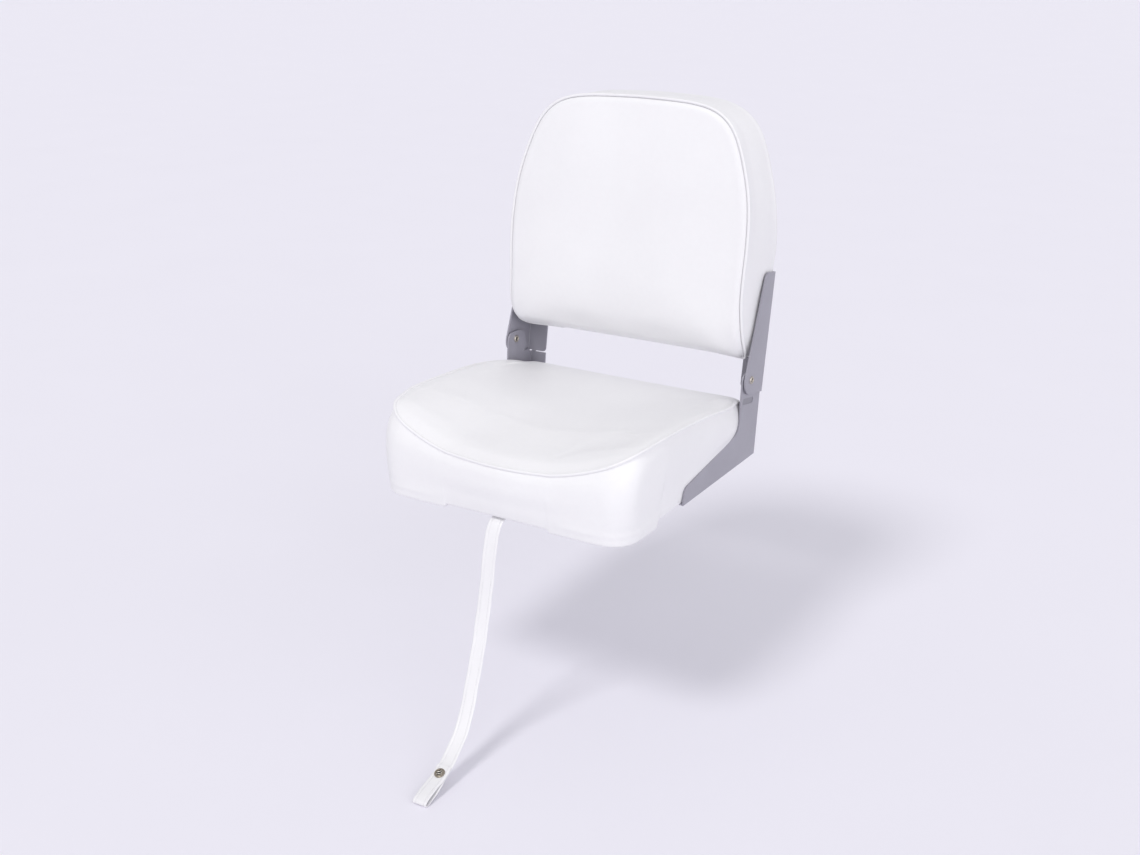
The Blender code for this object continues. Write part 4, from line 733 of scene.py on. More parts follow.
# %% [markdown]
# ## Seat cushion
# The hem wraps under the pan's edge and over its two front feet, the band leans out a
# little, and the seam rises from the low front lip to its peaks at the sides. The crown
# rolls in from the piping to a shallow dish. Beside the brackets the steel presses it in.
# %% Draw the seat's rings
SEAT_FRONT = 0.194
KNEE_Y = 0.2172
SEAT_DEPTH = 0.4110
SEAT_HALF_WIDTH = 0.2150
SEAM_HEIGHT = 0.124
FOOT_DROP = 0.0080
CHANNEL_DROP = 0.0030
BASE_HALF_WIDTH = 0.2045
BASE_FRONT = -0.1935
BASE_REAR = 0.2100
BASE_FRONT_RADIUS = 0.042
BASE_REAR_RADIUS = 0.028
CHANNEL_HALF_WIDTH = 0.085
CHANNEL_SIDE_Y = -0.101
STEP_RUN = 0.003
STEP_GUARD = 0.0055
CREASE_HEIGHT = 0.0165
HEM_WIDTH = 0.014
HEM_ROUND = 0.0025
SEAT_BULGE = 0.011
SEAT_BULGE_SKEW = 1.6
SHOULDER_RISE = 0.013
REAR_RISE = 0.021
SHOULDER_INSET = 0.004
DISH_HEIGHT = 0.103
DISH_Y = 0.010
ARM_REAR_HEIGHT = 0.0560
ARM_FRONT_HEIGHT = 0.0275
NECK_Y = 0.1555
TIP_Y = KNEE_Y - 0.2487
PAN_TOP = 0.022
SEAT_PRESSED_X = LOWER_INNER_X - GAP
SEAT_SEAM_SHARES = (
    (0.000, 0.000, 0.589), (0.274, 0.005, 0.605), (0.502, 0.015, 0.653),
    (0.698, 0.028, 0.758), (0.828, 0.046, 0.855), (0.916, 0.083, 0.940),
    (0.958, 0.141, 0.988), (0.974, 0.229, 1.000), (0.981, 0.350, 0.992),
    (0.986, 0.484, 0.968), (0.995, 0.606, 0.940), (1.000, 0.710, 0.891),
    (0.984, 0.769, 0.863), (0.949, 0.813, 0.839), (0.931, 0.849, 0.819),
    (0.928, 0.900, 0.762), (0.912, 0.951, 0.702), (0.856, 0.981, 0.665),
    (0.698, 0.993, 0.645), (0.326, 0.993, 0.645), (0.000, 0.993, 0.645),
)
SIDE_STATIONS = (0.12, 0.215, 0.36, 0.52, 0.68, 0.80, 0.857, 0.92)
UP = Vector((0, 0, 1))


def seat_base_half():
    """Stations of the base outline, with a pair of points at each foot's step."""
    width, front, rear, step = BASE_HALF_WIDTH, BASE_FRONT, BASE_REAR, STEP_RUN / 2
    radius = BASE_FRONT_RADIUS
    flat = width - radius
    stations = [Vector((x, front, -CHANNEL_DROP))
                for x in (0, CHANNEL_HALF_WIDTH / 2, CHANNEL_HALF_WIDTH - STEP_GUARD,
                          CHANNEL_HALF_WIDTH - step)]
    stations += [Vector((x, front, -FOOT_DROP))
                 for x in (CHANNEL_HALF_WIDTH + step, CHANNEL_HALF_WIDTH + STEP_GUARD,
                           (CHANNEL_HALF_WIDTH + flat) / 2)]
    for turn in range(5):
        angle = math.pi / 2 * turn / 4
        stations.append(Vector((flat + radius * math.sin(angle),
                                front + radius - radius * math.cos(angle), -FOOT_DROP)))
    low = SHEET + GAP
    stations += [Vector((width, CHANNEL_SIDE_Y - away, -FOOT_DROP)) for away in (STEP_GUARD, step)]
    stations += [Vector((width, CHANNEL_SIDE_Y + away, low)) for away in (step, STEP_GUARD)]
    radius = BASE_REAR_RADIUS
    side_length = rear - radius - CHANNEL_SIDE_Y
    for share in SIDE_STATIONS:
        stations.append(Vector((width, CHANNEL_SIDE_Y + side_length * share, low)))
    for turn in range(4):
        angle = math.pi / 2 * turn / 3
        stations.append(Vector((width - radius + radius * math.cos(angle),
                                rear - radius + radius * math.sin(angle), low)))
    for share in (0.80, 0.60, 0.40, 0.20, 0.0):
        stations.append(Vector(((width - radius) * share, rear, low)))
    return stations


def arm_top(y):
    """Height of the lower bracket's arm at a place along the seat."""
    rise = ARM_REAR_HEIGHT - ARM_FRONT_HEIGHT
    return ARM_FRONT_HEIGHT + rise * (y - TIP_Y) / (NECK_Y - TIP_Y)


def press_in(point, limit):
    """Keep a soft point inside the bracket plates where they lie against it."""
    beside_arm = point.y > TIP_Y - 0.010 and point.z < arm_top(point.y) + 0.010
    if point.y > NECK_Y - 0.016 or beside_arm:
        point.x = min(max(point.x, -limit), limit)
    return point


def seat_rings():
    base_half = seat_base_half()
    total = lengths_along(in_plan(base_half))
    shares = [length / total[-1] for length in total]
    seam_points = [Vector((a * SEAT_HALF_WIDTH, b * SEAT_DEPTH - SEAT_FRONT, c * SEAM_HEIGHT))
                   for a, b, c in SEAT_SEAM_SHARES]
    seam_half = sample(smooth_curve(seam_points, 8), shares)
    seam_half[0].x = seam_half[-1].x = 0
    base, seam = mirror_half(base_half), mirror_half(seam_half)
    away = flat_outward(in_plan(seam), UP)
    seam = [p - (n + UP) * PIPING_STAND_OFF for p, n in zip(seam, away)]
    outward = flat_outward(in_plan(base), UP)
    rings = [[p - n * HEM_WIDTH for p, n in zip(base, outward)],
             [p - n * HEM_ROUND for p, n in zip(base, outward)]]
    for number, share in enumerate((0.0, 0.10, None, 0.60, 0.80, 0.955)):
        ring = []
        for low, high, n in zip(base, seam, outward):
            foot = low + UP * HEM_ROUND
            beside = min(max(low.y, TIP_Y), NECK_Y)
            along = share
            if share is None:
                along = (arm_top(beside) + 0.002 - foot.z) / (high.z - foot.z)
            skewed = along ** SEAT_BULGE_SKEW
            spot = foot.lerp(high, along) + n * SEAT_BULGE * 4 * skewed * (1 - skewed)
            ring.append(press_in(spot, SEAT_PRESSED_X))
        rings.append(ring)
    limit = SEAT_PRESSED_X - 2 * PIPING_RADIUS - GAP
    seam = [press_in(p.copy(), limit) for p in seam]
    rings.append(seam)
    centre = Vector((0, DISH_Y, DISH_HEIGHT))
    inward = flat_outward(seam, UP)

    def crown(start, n, t):
        flat_in = Vector((n.x, n.y, 0)).normalized() * SHOULDER_INSET
        first = start + UP * (SHOULDER_RISE + REAR_RISE * max(0, n.y)) - flat_in
        second = start.lerp(centre, 0.5)
        second.z = centre.z + 0.10 * (start.z - centre.z)
        return bezier(start, first, second, centre, t)

    return with_crown(rings, crown, inward, (0.025, 0.08, 0.17, 0.30), 2)


SEAT_SEAM_RING = 8
rings, height = seat_rings()
seat_cushion = cage("seat_cushion", rings, 18, height, 2, SEAT_SEAM_RING)
apply_modifier(seat_cushion, "SUBSURF", levels=2, render_levels=2)
print("seat cage:", len(rings), "rings of", len(rings[0]))

# %% Hold and swell the seat
SEAM_HOLD = (0.004, 0.022)
FEET_HOLD = (0.006, 0.024)
SEAT_SIDE = (0.185, 0.200)
ARM_HOLD = (0.004, 0.016)
ARM_TIP = (-0.055, -0.040)
NECK_HOLD = (0.128, 0.142)
CREASE_DEPTH = 0.0009
CREASE_SOFTNESS = 0.0045


def seat_held(points, line):
    """Where the vinyl can't move: seam, hem, feet, and beside the steel."""
    held = fade(distance_to(points, line), *SEAM_HOLD)
    held = np.maximum(held, fade(points[:, 2], *FEET_HOLD))
    outer = 1 - fade(np.abs(points[:, 0]), *SEAT_SIDE)
    arm = np.array([arm_top(y) for y in points[:, 1]])
    beside_arm = fade(points[:, 2] - arm, *ARM_HOLD) * (1 - fade(points[:, 1], *ARM_TIP))
    beside_neck = 1 - fade(points[:, 1], *NECK_HOLD)
    return np.maximum(held, outer * np.maximum(beside_arm, beside_neck))


def crease_feet(piece):
    """A soft crease above each front foot, where the foam ends and the hard pan begins."""
    points = points_of(piece)
    drop = (points[:, 2] - (CREASE_HEIGHT - FOOT_DROP)) / CREASE_SOFTNESS
    round_foot = (1 - fade(np.abs(points[:, 0]), 0.092, 0.125)) * fade(points[:, 1], -0.13, -0.11)
    draw = CREASE_DEPTH * np.exp(-drop ** 2) * round_foot
    set_points(piece, points - normals_of(piece) * draw[:, None])


seat_seam = grow(seat_cushion, seat_held)
crease_feet(seat_cushion)


def seat_inside(hem):
    """Up round the pan's edge and over its top."""
    lift = [p + UP * INNER_LIFT for p in hem]
    outward = flat_outward(in_plan(hem), UP)
    wall = [p + n * (HEM_WIDTH - INNER_CLEAR) for p, n in zip(lift, outward)]
    top = [Vector((p.x, p.y, PAN_TOP + 0.0006)) for p in wall]
    return [lift, wall, top]


seat_cushion = close_inside(seat_cushion, seat_inside)
finish_piece(seat_cushion, "seat", "white_vinyl", "seat_cover", "seat_foam")

# %% [markdown]
# ## Back cushion
# The same boxed build stands on edge: its plain rolled lower edge tucks between the brackets,
# the band widens behind the piping above them, and the front bows out softly. It is drawn in
# the backrest's own frame, about the pivot, and then leaned back with it.
# %% Draw the back's rings
BACK_HALF_WIDTH = UPPER_INNER_X - 0.008
BACK_BOTTOM = 0.027
BACK_HEIGHT = 0.372
BACK_FRONT = 0.0485
BACK_CROWN = 0.061
BACK_CROWN_HEIGHT = 0.205
BACK_ROLL_REACH = 0.064
BACK_ROLL_DROP = 0.004
BACK_ROLL_SAG = 0.005
BACK_BULGE = 0.003
BACK_FLARE = 0.0125
BACK_HEM = 0.010
BACK_STEPS = 28
BACK_EDGE_ROUND = 0.004
BACK_REAR = 0.049 - SHEET - GAP
BOARD_THICKNESS = 0.009
BRACKET_TOP = 0.1625
BACK_SEAM_SHARES = (
    (0.000, 0.784, 0.000), (0.495, 0.784, 0.000), (0.743, 0.701, 0.000),
    (0.891, 0.495, 0.000), (0.962, 0.228, 0.002), (0.996, -0.040, 0.016),
    (1.003, -0.345, 0.047), (1.005, -0.570, 0.084), (1.001, -0.715, 0.132),
    (0.996, -0.816, 0.188), (0.990, -0.887, 0.245), (0.995, -0.969, 0.325),
    (1.000, -1.000, 0.438), (0.995, -1.000, 0.532), (0.983, -1.000, 0.599),
    (0.955, -1.000, 0.683), (0.906, -1.000, 0.770), (0.837, -1.000, 0.868),
    (0.762, -1.000, 0.927), (0.663, -1.000, 0.965), (0.535, -1.000, 0.985),
    (0.347, -1.000, 0.995), (0.000, -1.000, 1.000),
)
BACK_REAR_SHARES = (
    (-0.10, 1.00), (0.00, 1.00), (0.44, 1.00), (0.53, 0.92), (0.61, 0.80),
    (0.73, 0.72), (0.87, 0.68), (1.10, 0.63),
)
BACK_FLARE_SHARES = (
    (-0.10, 0.76), (0.00, 0.76), (0.34, 0.78), (0.42, 0.90), (0.80, 0.97), (0.92, 1.08),
    (1.00, 1.12), (1.10, 1.12),
)
REAR = Vector((0, 1, 0))


def back_rear_y(z):
    return BACK_REAR * read_table(BACK_REAR_SHARES, (z - BACK_BOTTOM) / BACK_HEIGHT)


def back_flare(z, n):
    share = read_table(BACK_FLARE_SHARES, (z - BACK_BOTTOM) / BACK_HEIGHT)
    return BACK_FLARE * share * (1 - max(0, -n.z))


def press_back(point):
    """Keep a soft point between the upper bracket plates."""
    if point.z < BRACKET_TOP + 0.002:
        limit = UPPER_INNER_X - GAP
        point.x = min(max(point.x, -limit), limit)
    return point


def back_outward(ring):
    found = flat_outward([Vector((p.x, 0, p.z)) for p in ring], -REAR)
    middle = Vector((0, 0, BACK_CROWN_HEIGHT))
    return [n if n.dot(Vector((p.x, 0, p.z)) - middle) > 0 else -n for n, p in zip(found, ring)]


def back_seam():
    points = [Vector((a * BACK_HALF_WIDTH, b * BACK_FRONT, BACK_BOTTOM + c * BACK_HEIGHT))
              for a, b, c in BACK_SEAM_SHARES]
    curve = smooth_curve(points, 8)
    total = lengths_along(curve)
    index = next(i for i, p in enumerate(curve) if i > len(curve) / 4 and p.z > BRACKET_TOP)
    span = (BRACKET_TOP - curve[index - 1].z) / (curve[index].z - curve[index - 1].z)
    split = (total[index - 1] + span * (total[index] - total[index - 1])) / total[-1]
    low_steps = round(split * BACK_STEPS)
    shares = [split * step / low_steps for step in range(low_steps)]
    high_steps = BACK_STEPS - low_steps
    shares += [split + (1 - split) * step / high_steps for step in range(high_steps + 1)]
    half = sample(curve, shares)
    half[0].x = half[-1].x = 0
    seam = mirror_half(half)
    return [p - (n - REAR) * PIPING_STAND_OFF for p, n in zip(seam, back_outward(seam))]


def back_rings():
    seam = back_seam()
    outward = back_outward(seam)
    rings = []
    for inset, ahead in ((BACK_HEM, 0), (BACK_EDGE_ROUND, 0), (0.0010, 0.0010),
                         (0, BACK_EDGE_ROUND)):
        ring = []
        for p, n in zip(seam, outward):
            spot = Vector((p.x, 0, p.z)) + n * (back_flare(p.z, n) - inset)
            spot.y = back_rear_y(spot.z) - ahead
            ring.append(press_back(spot))
        rings.append(ring)
    corner = rings[-1]
    for share in (0.30, 0.65, 0.93):
        ring = []
        for first, last, n in zip(corner, seam, outward):
            bulge = BACK_BULGE * 4 * share * (1 - share)
            depth = min((first.y - last.y) / BACK_FRONT, 1)
            ring.append(press_back(first.lerp(last, share) + n * bulge * depth))
        rings.append(ring)
    rings.append(seam)
    centre = Vector((0, -BACK_CROWN, BACK_CROWN_HEIGHT))

    def crown(start, n, t):
        low = max(0, -n.z)
        first = Vector((start.x, 0, start.z)) - n * BACK_ROLL_DROP
        first.z -= (2 * BACK_ROLL_DROP + BACK_ROLL_SAG) * low
        first.y = -BACK_CROWN - (BACK_ROLL_REACH - BACK_CROWN) * low
        second = Vector((start.x, 0, start.z)).lerp(centre, 0.5 - 0.22 * low)
        second.y = -BACK_CROWN
        return bezier(start, first, second, centre, t)

    return with_crown(rings, crown, outward, (0.03, 0.08, 0.17, 0.30), 1)


BACK_SEAM_RING = 7
rings, height = back_rings()
back_cushion = cage("back_cushion", rings, 14, height, 1, BACK_SEAM_RING)
apply_modifier(back_cushion, "SUBSURF", levels=2, render_levels=2)
print("back cage:", len(rings), "rings of", len(rings[0]))

# %% Hold and swell the back, then lean it
REAR_HOLD = (0.004, 0.012)
BACK_SIDE = (0.180, 0.196)
BRACKET_FADE = 0.012


def back_held(points, line):
    held = fade(distance_to(points, line), *SEAM_HOLD)
    rear = np.array([back_rear_y(z) for z in points[:, 2]])
    held = np.maximum(held, fade(rear - points[:, 1], *REAR_HOLD))
    outer = 1 - fade(np.abs(points[:, 0]), *BACK_SIDE)
    return np.maximum(held, outer * fade(points[:, 2], BRACKET_TOP, BRACKET_TOP + BRACKET_FADE))


back_seam_line = grow(back_cushion, back_held)


def back_inside(hem):
    """Forward past the board's edge and across its front."""
    lift = [p - REAR * INNER_LIFT for p in hem]
    wall = [p + n * (BACK_HEM - INNER_CLEAR) for p, n in zip(lift, back_outward(hem))]
    front = [Vector((p.x, back_rear_y(p.z) - BOARD_THICKNESS - 0.0024, p.z)) for p in wall]
    return [lift, wall, front]


back_cushion = close_inside(back_cushion, back_inside)


def lean(piece):
    piece.data.transform(BACK_PLACE)
    piece.data.update()
    return piece


finish_piece(lean(back_cushion), "backrest", "white_vinyl", "back_cover", "back_foam")

# %% [markdown]
# ## Piping
# Piping is a cord wrapped in a strip of the same vinyl and sewn into the seam, so it stands
# half out of the groove that its stitches pull. It is a small tube that follows the seam.
# %% Lay the piping
TUBE_SIDES = 14
PIPING_LIFT = 0.0016
PIPING_START = 40
PIPING_TAPER = 0.014
SEAM_NEAR = 0.006


def seam_outward(cushion, line):
    """The cushion's outward direction at each point of its seam, evened along it."""
    points, normals = points_of(cushion), normals_of(cushion)
    found = []
    for p in line:
        near = np.nonzero(np.linalg.norm(points - np.array(p), axis=1) < SEAM_NEAR)[0]
        found.append(Vector(normals[near].sum(0)).normalized())
    for _ in range(3):
        found = [(found[i - 1] + n * 2 + found[(i + 1) % len(found)]) / 4
                 for i, n in enumerate(found)]
    return found


def piping(name, line, outward, closed, body, replaced):
    """A tube along the seam, with the slight puckers that a wrapped cord shows."""
    count = len(line)
    corners, faces = [], []
    stretch = lengths_along(line)
    for index, (point, n) in enumerate(zip(line, outward)):
        before = line[index - 1] if closed or index else point
        after = line[(index + 1) % count] if closed or index + 1 < count else point
        along = (after - before).normalized()
        n = (n - along * n.dot(along)).normalized()
        side = along.cross(n)
        s = stretch[index]
        radius = PIPING_RADIUS * (1 + 0.02 * math.sin(s * 190) + 0.015 * math.sin(s * 417))
        if not closed:
            taper = 1 - min(min(s, stretch[-1] - s) / PIPING_TAPER, 1)
            radius *= 1 - 0.6 * taper ** 2
            point = point - n * PIPING_RADIUS * 1.2 * taper ** 2
        for k in range(TUBE_SIDES):
            a = 2 * math.pi * k / TUBE_SIDES
            corners.append(point + (n * math.cos(a) + side * math.sin(a)) * radius)
    rows = count if closed else count - 1
    for row in range(rows):
        for k in range(TUBE_SIDES):
            after = (k + 1) % TUBE_SIDES
            first, second = row * TUBE_SIDES, (row + 1) % count * TUBE_SIDES
            faces.append((first + k, second + k, second + after, first + after))
    if not closed:
        faces.append(tuple(range(TUBE_SIDES)))
        faces.append(tuple(reversed(range((count - 1) * TUBE_SIDES, count * TUBE_SIDES))))
    tube = mesh_piece(name, corners, faces, PIPING_VINYL)
    face_outward(tube)
    smooth(tube, 60)
    finish_piece(tube, body, "white_vinyl", replaced)


seat_out = seam_outward(seat_cushion, seat_seam)
seat_cord_line = [p + n * PIPING_LIFT for p, n in zip(seat_seam, seat_out)]
piping("seat_piping_cord", seat_cord_line, seat_out, True, "seat", "seat_piping")

back_line = [BACK_PLACE @ p for p in back_seam_line]
back_out = seam_outward(back_cushion, back_line)
back_cord_line = [p + n * PIPING_LIFT for p, n in zip(back_line, back_out)]
ends = slice(PIPING_START, len(back_line) - PIPING_START + 1)
piping("back_piping_cord", back_cord_line[ends], back_out[ends], False, "backrest",
       "back_piping")

# %% [markdown]
# ## Rear panel
# The back of the backrest is a flat vinyl panel over the board. It shows a seam just inside
# its edge, so it is drawn as a thin sheet that follows the board, with a sewn line of thread.
# %% Draw the rear panel
REAR_PANEL_INSET = BACK_HEM - 0.0010
PANEL_THICK = 0.0015
PANEL_STEP = 0.006
PANEL_SAMPLES = 112
PANEL_PUFF = 0.0016
PANEL_SINK = 0.0002
EDGE_TUCK = 0.0011
SEWN_INSET = 0.0085
SEWN_DEPTH = 0.0007
RIM_INSETS = (0, 0.0007, 0.0014, 0.0024, 0.004, 0.0058, 0.0072, SEWN_INSET, 0.0098, 0.0114,
              0.015, 0.020)
MIDDLE_RINGS = 14
REAR_MIDDLE = Vector((0, 0, BACK_CROWN_HEIGHT))


def panel_edge():
    """The panel's outline inside the hem, without the loops that an inset makes at corners."""
    seam = back_seam()
    half = sample(seam[:BACK_STEPS + 1],
                  [k / PANEL_SAMPLES for k in range(PANEL_SAMPLES + 1)])
    half[0].x = half[-1].x = 0
    seam = mirror_half(half)
    outward = back_outward(seam)
    outer = [Vector((p.x, 0, p.z)) + n * back_flare(p.z, n) for p, n in zip(seam, outward)]
    edge = [p - n * REAR_PANEL_INSET for p, n in zip(outer, outward)]
    away = distance_to(np.array([tuple(p) for p in edge]), outer)
    edge = [p for p, gap in zip(edge, away) if gap > REAR_PANEL_INSET - 0.0004]
    return even_points(edge + [edge[0]], PANEL_STEP)[:-1]


def rear_outline(inset, edge):
    """The panel's edge moved in toward the middle, so that rings never cross."""
    return [p.lerp(REAR_MIDDLE, inset / n.dot(p - REAR_MIDDLE))
            for p, n in zip(edge, back_outward(edge))]


def rear_panel():
    """Rings from the edge to the middle, bowed out a little, with the edge tucked in."""
    edge = panel_edge()
    rings = [rear_outline(inset, edge) for inset in RIM_INSETS]
    inner = rings[-1]
    rings += [[p.lerp(REAR_MIDDLE, step / MIDDLE_RINGS) for p in inner]
              for step in range(1, MIDDLE_RINGS)]
    count = len(edge)
    corners = [p.copy() for ring in rings for p in ring] + [REAR_MIDDLE.copy()]
    faces = ring_faces(len(rings), count)
    last = (len(rings) - 1) * count
    faces += [(last + k, last + (k + 1) % count, len(corners) - 1) for k in range(count)]
    flat = np.array([tuple(p) for p in corners])
    rim = distance_to(flat, [(p.x, 0, p.z) for p in rings[0]])
    puff = PANEL_PUFF * (1 - fade(rim, 0.006, 0.05))
    puff -= SEWN_DEPTH * np.exp(-((rim - SEWN_INSET) / 0.0018) ** 2)
    puff -= EDGE_TUCK * np.exp(-(rim / 0.0013) ** 2)
    for p, rise in zip(corners, puff):
        p.y = back_rear_y(p.z) + rise - PANEL_SINK
    sheet = mesh_piece("back_rear_sheet", corners, faces, VINYL)
    face_outward(sheet)
    if sheet.data.polygons[len(sheet.data.polygons) // 2].normal.y < 0:
        sheet.data.flip_normals()
    apply_modifier(sheet, "SOLIDIFY", thickness=PANEL_THICK, offset=-1.0)
    smooth(sheet, 50)
    return sheet, rear_outline(SEWN_INSET, edge)


rear_sheet, sewn_line = rear_panel()
finish_piece(lean(rear_sheet), "backrest", "white_vinyl", "back_rear_panel")

# %% Sew the rear panel's edge
SLOPE_REACH = 0.004
panel_stitches = []
sewn = even_points(sewn_line + [sewn_line[0]], STITCH_PITCH)[:-1]
for index, spot in enumerate(sewn):
    along = (sewn[(index + 1) % len(sewn)] - sewn[index - 1]).normalized()
    rise = back_rear_y(spot.z + SLOPE_REACH) - back_rear_y(spot.z - SLOPE_REACH)
    run = 2 * SLOPE_REACH
    up = Vector((0, run, -rise)).normalized()
    along = Vector((along.x, rise / run * along.z, along.z)).normalized()
    point = Vector((spot.x, back_rear_y(spot.z) - SEWN_DEPTH, spot.z))
    panel_stitches.append((BACK_PLACE @ point, BACK_PLACE.to_3x3() @ along,
                           BACK_PLACE.to_3x3() @ up))
sew("back_panel_stitches", panel_stitches, "backrest")

# %% [markdown]
# ## Hinge steel
# Four pressings carry the backrest: sheet 2.5 mm thick, sheared and folded, then powder
# coated grey. Their CAD shapes are right, so each is copied, merged and given the small
# rounded edges that a coat of powder leaves, which is what catches the light.
# %% Make the coated and bare metals


def powder_coat(name, tone):
    coat = Finish(name)
    peel = coat.noise(520.0, 2.0, 0.5)
    fine = coat.noise(2400.0, 2.0, 0.6)
    drift = coat.noise(9.0, 3.0, 0.6)
    colour = coat.blend(coat.ramp(drift, [(0.35, 0.0), (0.68, 1.0)]),
                        (0.298 * tone, 0.289 * tone, 0.336 * tone),
                        (0.334 * tone, 0.326 * tone, 0.376 * tone))
    height = peel * 0.8 + fine * 0.35
    return coat.surface(Base_Color=colour, Roughness=0.34 + fine * 0.12 + drift * 0.06,
                        Metallic=0.0, Normal=coat.bump(height, 0.00016, 0.55),
                        Coat_Weight=0.25, Coat_Roughness=0.22)


def nickel_plate(name, low, high):
    nickel = Finish(name)
    turned = nickel.noise(1600.0, 2.0, 0.7)
    patina = nickel.noise(260.0, 3.0, 0.6)
    colour = nickel.blend(patina, low, high)
    return nickel.surface(Base_Color=colour, Metallic=1.0, Roughness=0.20 + turned * 0.16,
                          Normal=nickel.bump(turned, 0.00003, 0.4))


def zinc_steel():
    zinc = Finish("zinc_plate")
    spangle = zinc.cells(420.0)
    fine = zinc.noise(1900.0, 3.0, 0.6)
    colour = zinc.blend(spangle, (0.50, 0.51, 0.52), (0.68, 0.68, 0.66))
    return zinc.surface(Base_Color=colour, Metallic=1.0, Roughness=0.30 + fine * 0.18,
                        Normal=zinc.bump(fine, 0.00004, 0.5))


def moulded_plastic(name, low, high, roughness):
    plastic = Finish(name)
    drift = plastic.noise(14.0, 3.0, 0.6)
    spark = plastic.noise(1100.0, 3.0, 0.7)
    return plastic.surface(Base_Color=plastic.blend(drift, low, high),
                           Roughness=roughness + spark * 0.14,
                           Normal=plastic.bump(spark, 0.00009, 0.6))


POWDER = powder_coat("grey_powder_coat_paint", 0.98)
# Painted shade: a darker copy of the coat for the pressed mark's floor, standing in for the shade
# that falls in the recess.
POWDER_PAINTED_SHADE = powder_coat("grey_powder_coat_in_the_mark", 0.70)
NICKEL = nickel_plate("nickel_plate", (0.66, 0.62, 0.54), (0.80, 0.77, 0.70))
RIVET_METAL = nickel_plate("rivet_plate", (0.42, 0.39, 0.34), (0.56, 0.52, 0.45))
ZINC = zinc_steel()
PAN_PLASTIC = moulded_plastic("pan_polypropylene", (0.66, 0.66, 0.67), (0.72, 0.72, 0.73), 0.46)
BOARD_PLASTIC = moulded_plastic("board_plastic_sheet", (0.50, 0.50, 0.51), (0.57, 0.57, 0.58),
                                0.52)
NYLON = moulded_plastic("nylon_natural", (0.76, 0.76, 0.71), (0.82, 0.82, 0.78), 0.38)

# %% Round the edges of a copied solid


def dressed_copy(node, name, material, body, slot, edge, segments=2, angle=35, flat=False,
                 joined=True):
    """A merged copy of a solid with rounded edges, which stands for it."""
    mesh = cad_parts[node].data.copy()
    mesh.materials.clear()
    for face in mesh.polygons:
        face.material_index = 0
    piece = show_mesh(name, mesh, material)
    only(piece)
    bpy.ops.object.mode_set(mode="EDIT")
    bpy.ops.mesh.select_all(action="SELECT")
    bpy.ops.mesh.customdata_custom_splitnormals_clear()
    bpy.ops.mesh.remove_doubles(threshold=0.00001)
    if joined:
        bpy.ops.mesh.dissolve_limited(angle_limit=math.radians(0.5))
    bpy.ops.object.mode_set(mode="OBJECT")
    if edge:
        apply_modifier(piece, "BEVEL", width=edge, segments=segments, limit_method="ANGLE",
                       angle_limit=math.radians(angle), use_clamp_overlap=True,
                       miter_outer="MITER_ARC")
    smooth(piece, angle)
    if flat:
        apply_modifier(piece, "WEIGHTED_NORMAL", weight=100, keep_sharp=True)
    finish_piece(piece, body, slot, node)
    return piece


MARK_DEPTH = 0.0006
MARK_DROP = 0.0333
MARK_REACH = (0.0001, 0.02, 0.005)


def paint_shade_in_mark(piece):
    """Painted shade: the floor of the bracket's pressed mark gets a darker coat that stands in for
    the shade in the recess.
    """
    piece.data.materials.append(POWDER_PAINTED_SHADE)
    middle = (LOWER_INNER_X + SHEET - MARK_DEPTH, PIVOT.y, PIVOT.z - MARK_DROP)
    for face in piece.data.polygons:
        spot = (abs(face.center.x), face.center.y, face.center.z)
        if all(abs(a - b) < reach for a, b, reach in zip(spot, middle, MARK_REACH)):
            face.material_index = 1


for side in ("left", "right"):
    bracket = dressed_copy(f"lower_bracket_{side}", f"lower_hinge_{side}", POWDER, "seat",
                           "grey_powder_coat", 0.00045, flat=True)
    paint_shade_in_mark(bracket)
    dressed_copy(f"upper_bracket_{side}", f"upper_hinge_{side}", POWDER, "backrest",
                 "grey_powder_coat", 0.00045, flat=True)

# %% [markdown]
# ## Pan, board and fixings
# Under the cushion is a moulded pan with ribs; a plastic board backs the backrest. Screws,
# washers and T-nuts are plated steel. All keep their CAD shapes, with softened edges.
# %% Dress the pan, the board and the fixings
dressed_copy("seat_pan", "moulded_pan", PAN_PLASTIC, "seat", "pan_plastic", 0.0005, 1, 60,
             flat=True, joined=False)
dressed_copy("back_board", "plastic_board", BOARD_PLASTIC, "backrest", "board_plastic", 0.0006)
FIXINGS = [(f"back_screw_{k}", "backrest") for k in range(1, 7)]
FIXINGS += [(f"foot_screw_{k}", "seat") for k in range(1, 7)]
FIXINGS += [(f"t_nut_{k}", "seat") for k in range(1, 5)]
FIXINGS += [("strap_screw", "seat"), ("strap_washer", "seat")]
for node, body in FIXINGS:
    dressed_copy(node, node + "_plated", ZINC, body, "zinc_steel", 0.0002, 2, 40)
for side in ("left", "right"):
    dressed_copy(f"pivot_washer_{side}", f"nylon_washer_{side}", NYLON, "seat", "nylon", 0.0)
dressed_copy("snap_stud", "snap_stud_plated", NICKEL, "backrest", "nickel", 0.0002, 2, 40)

# %% [markdown]
# ## Staples
# Wire staples hold the hem under the pan. They stand at even steps along the hem's middle,
# except where a bracket's foot or the strap is in the way.
# %% Drive the staples
STAPLE_PITCH = 0.019
STAPLE_HALF_WIDTH = 0.0006
FOOT_INNER_X = 0.165
FOOT_GUARD = 0.012
STRAP_GUARD = 0.024
STAPLE_WIRE = ((-0.0052, -0.0012), (-0.0047, 0.0003), (0.0047, 0.0003), (0.0052, -0.0012))


def staple_at(point, along, up):
    """Corners and faces of one bent wire whose crown lies on the hem."""
    across = along.cross(up)
    corners = [point + along * x + across * side * STAPLE_HALF_WIDTH + up * (z + rise)
               for x, z in STAPLE_WIRE
               for side, rise in ((-1, -0.0005), (1, -0.0005), (1, 0.0001), (-1, 0.0001))]
    return corners, ring_faces(4, 4) + [(3, 2, 1, 0), (12, 13, 14, 15)]


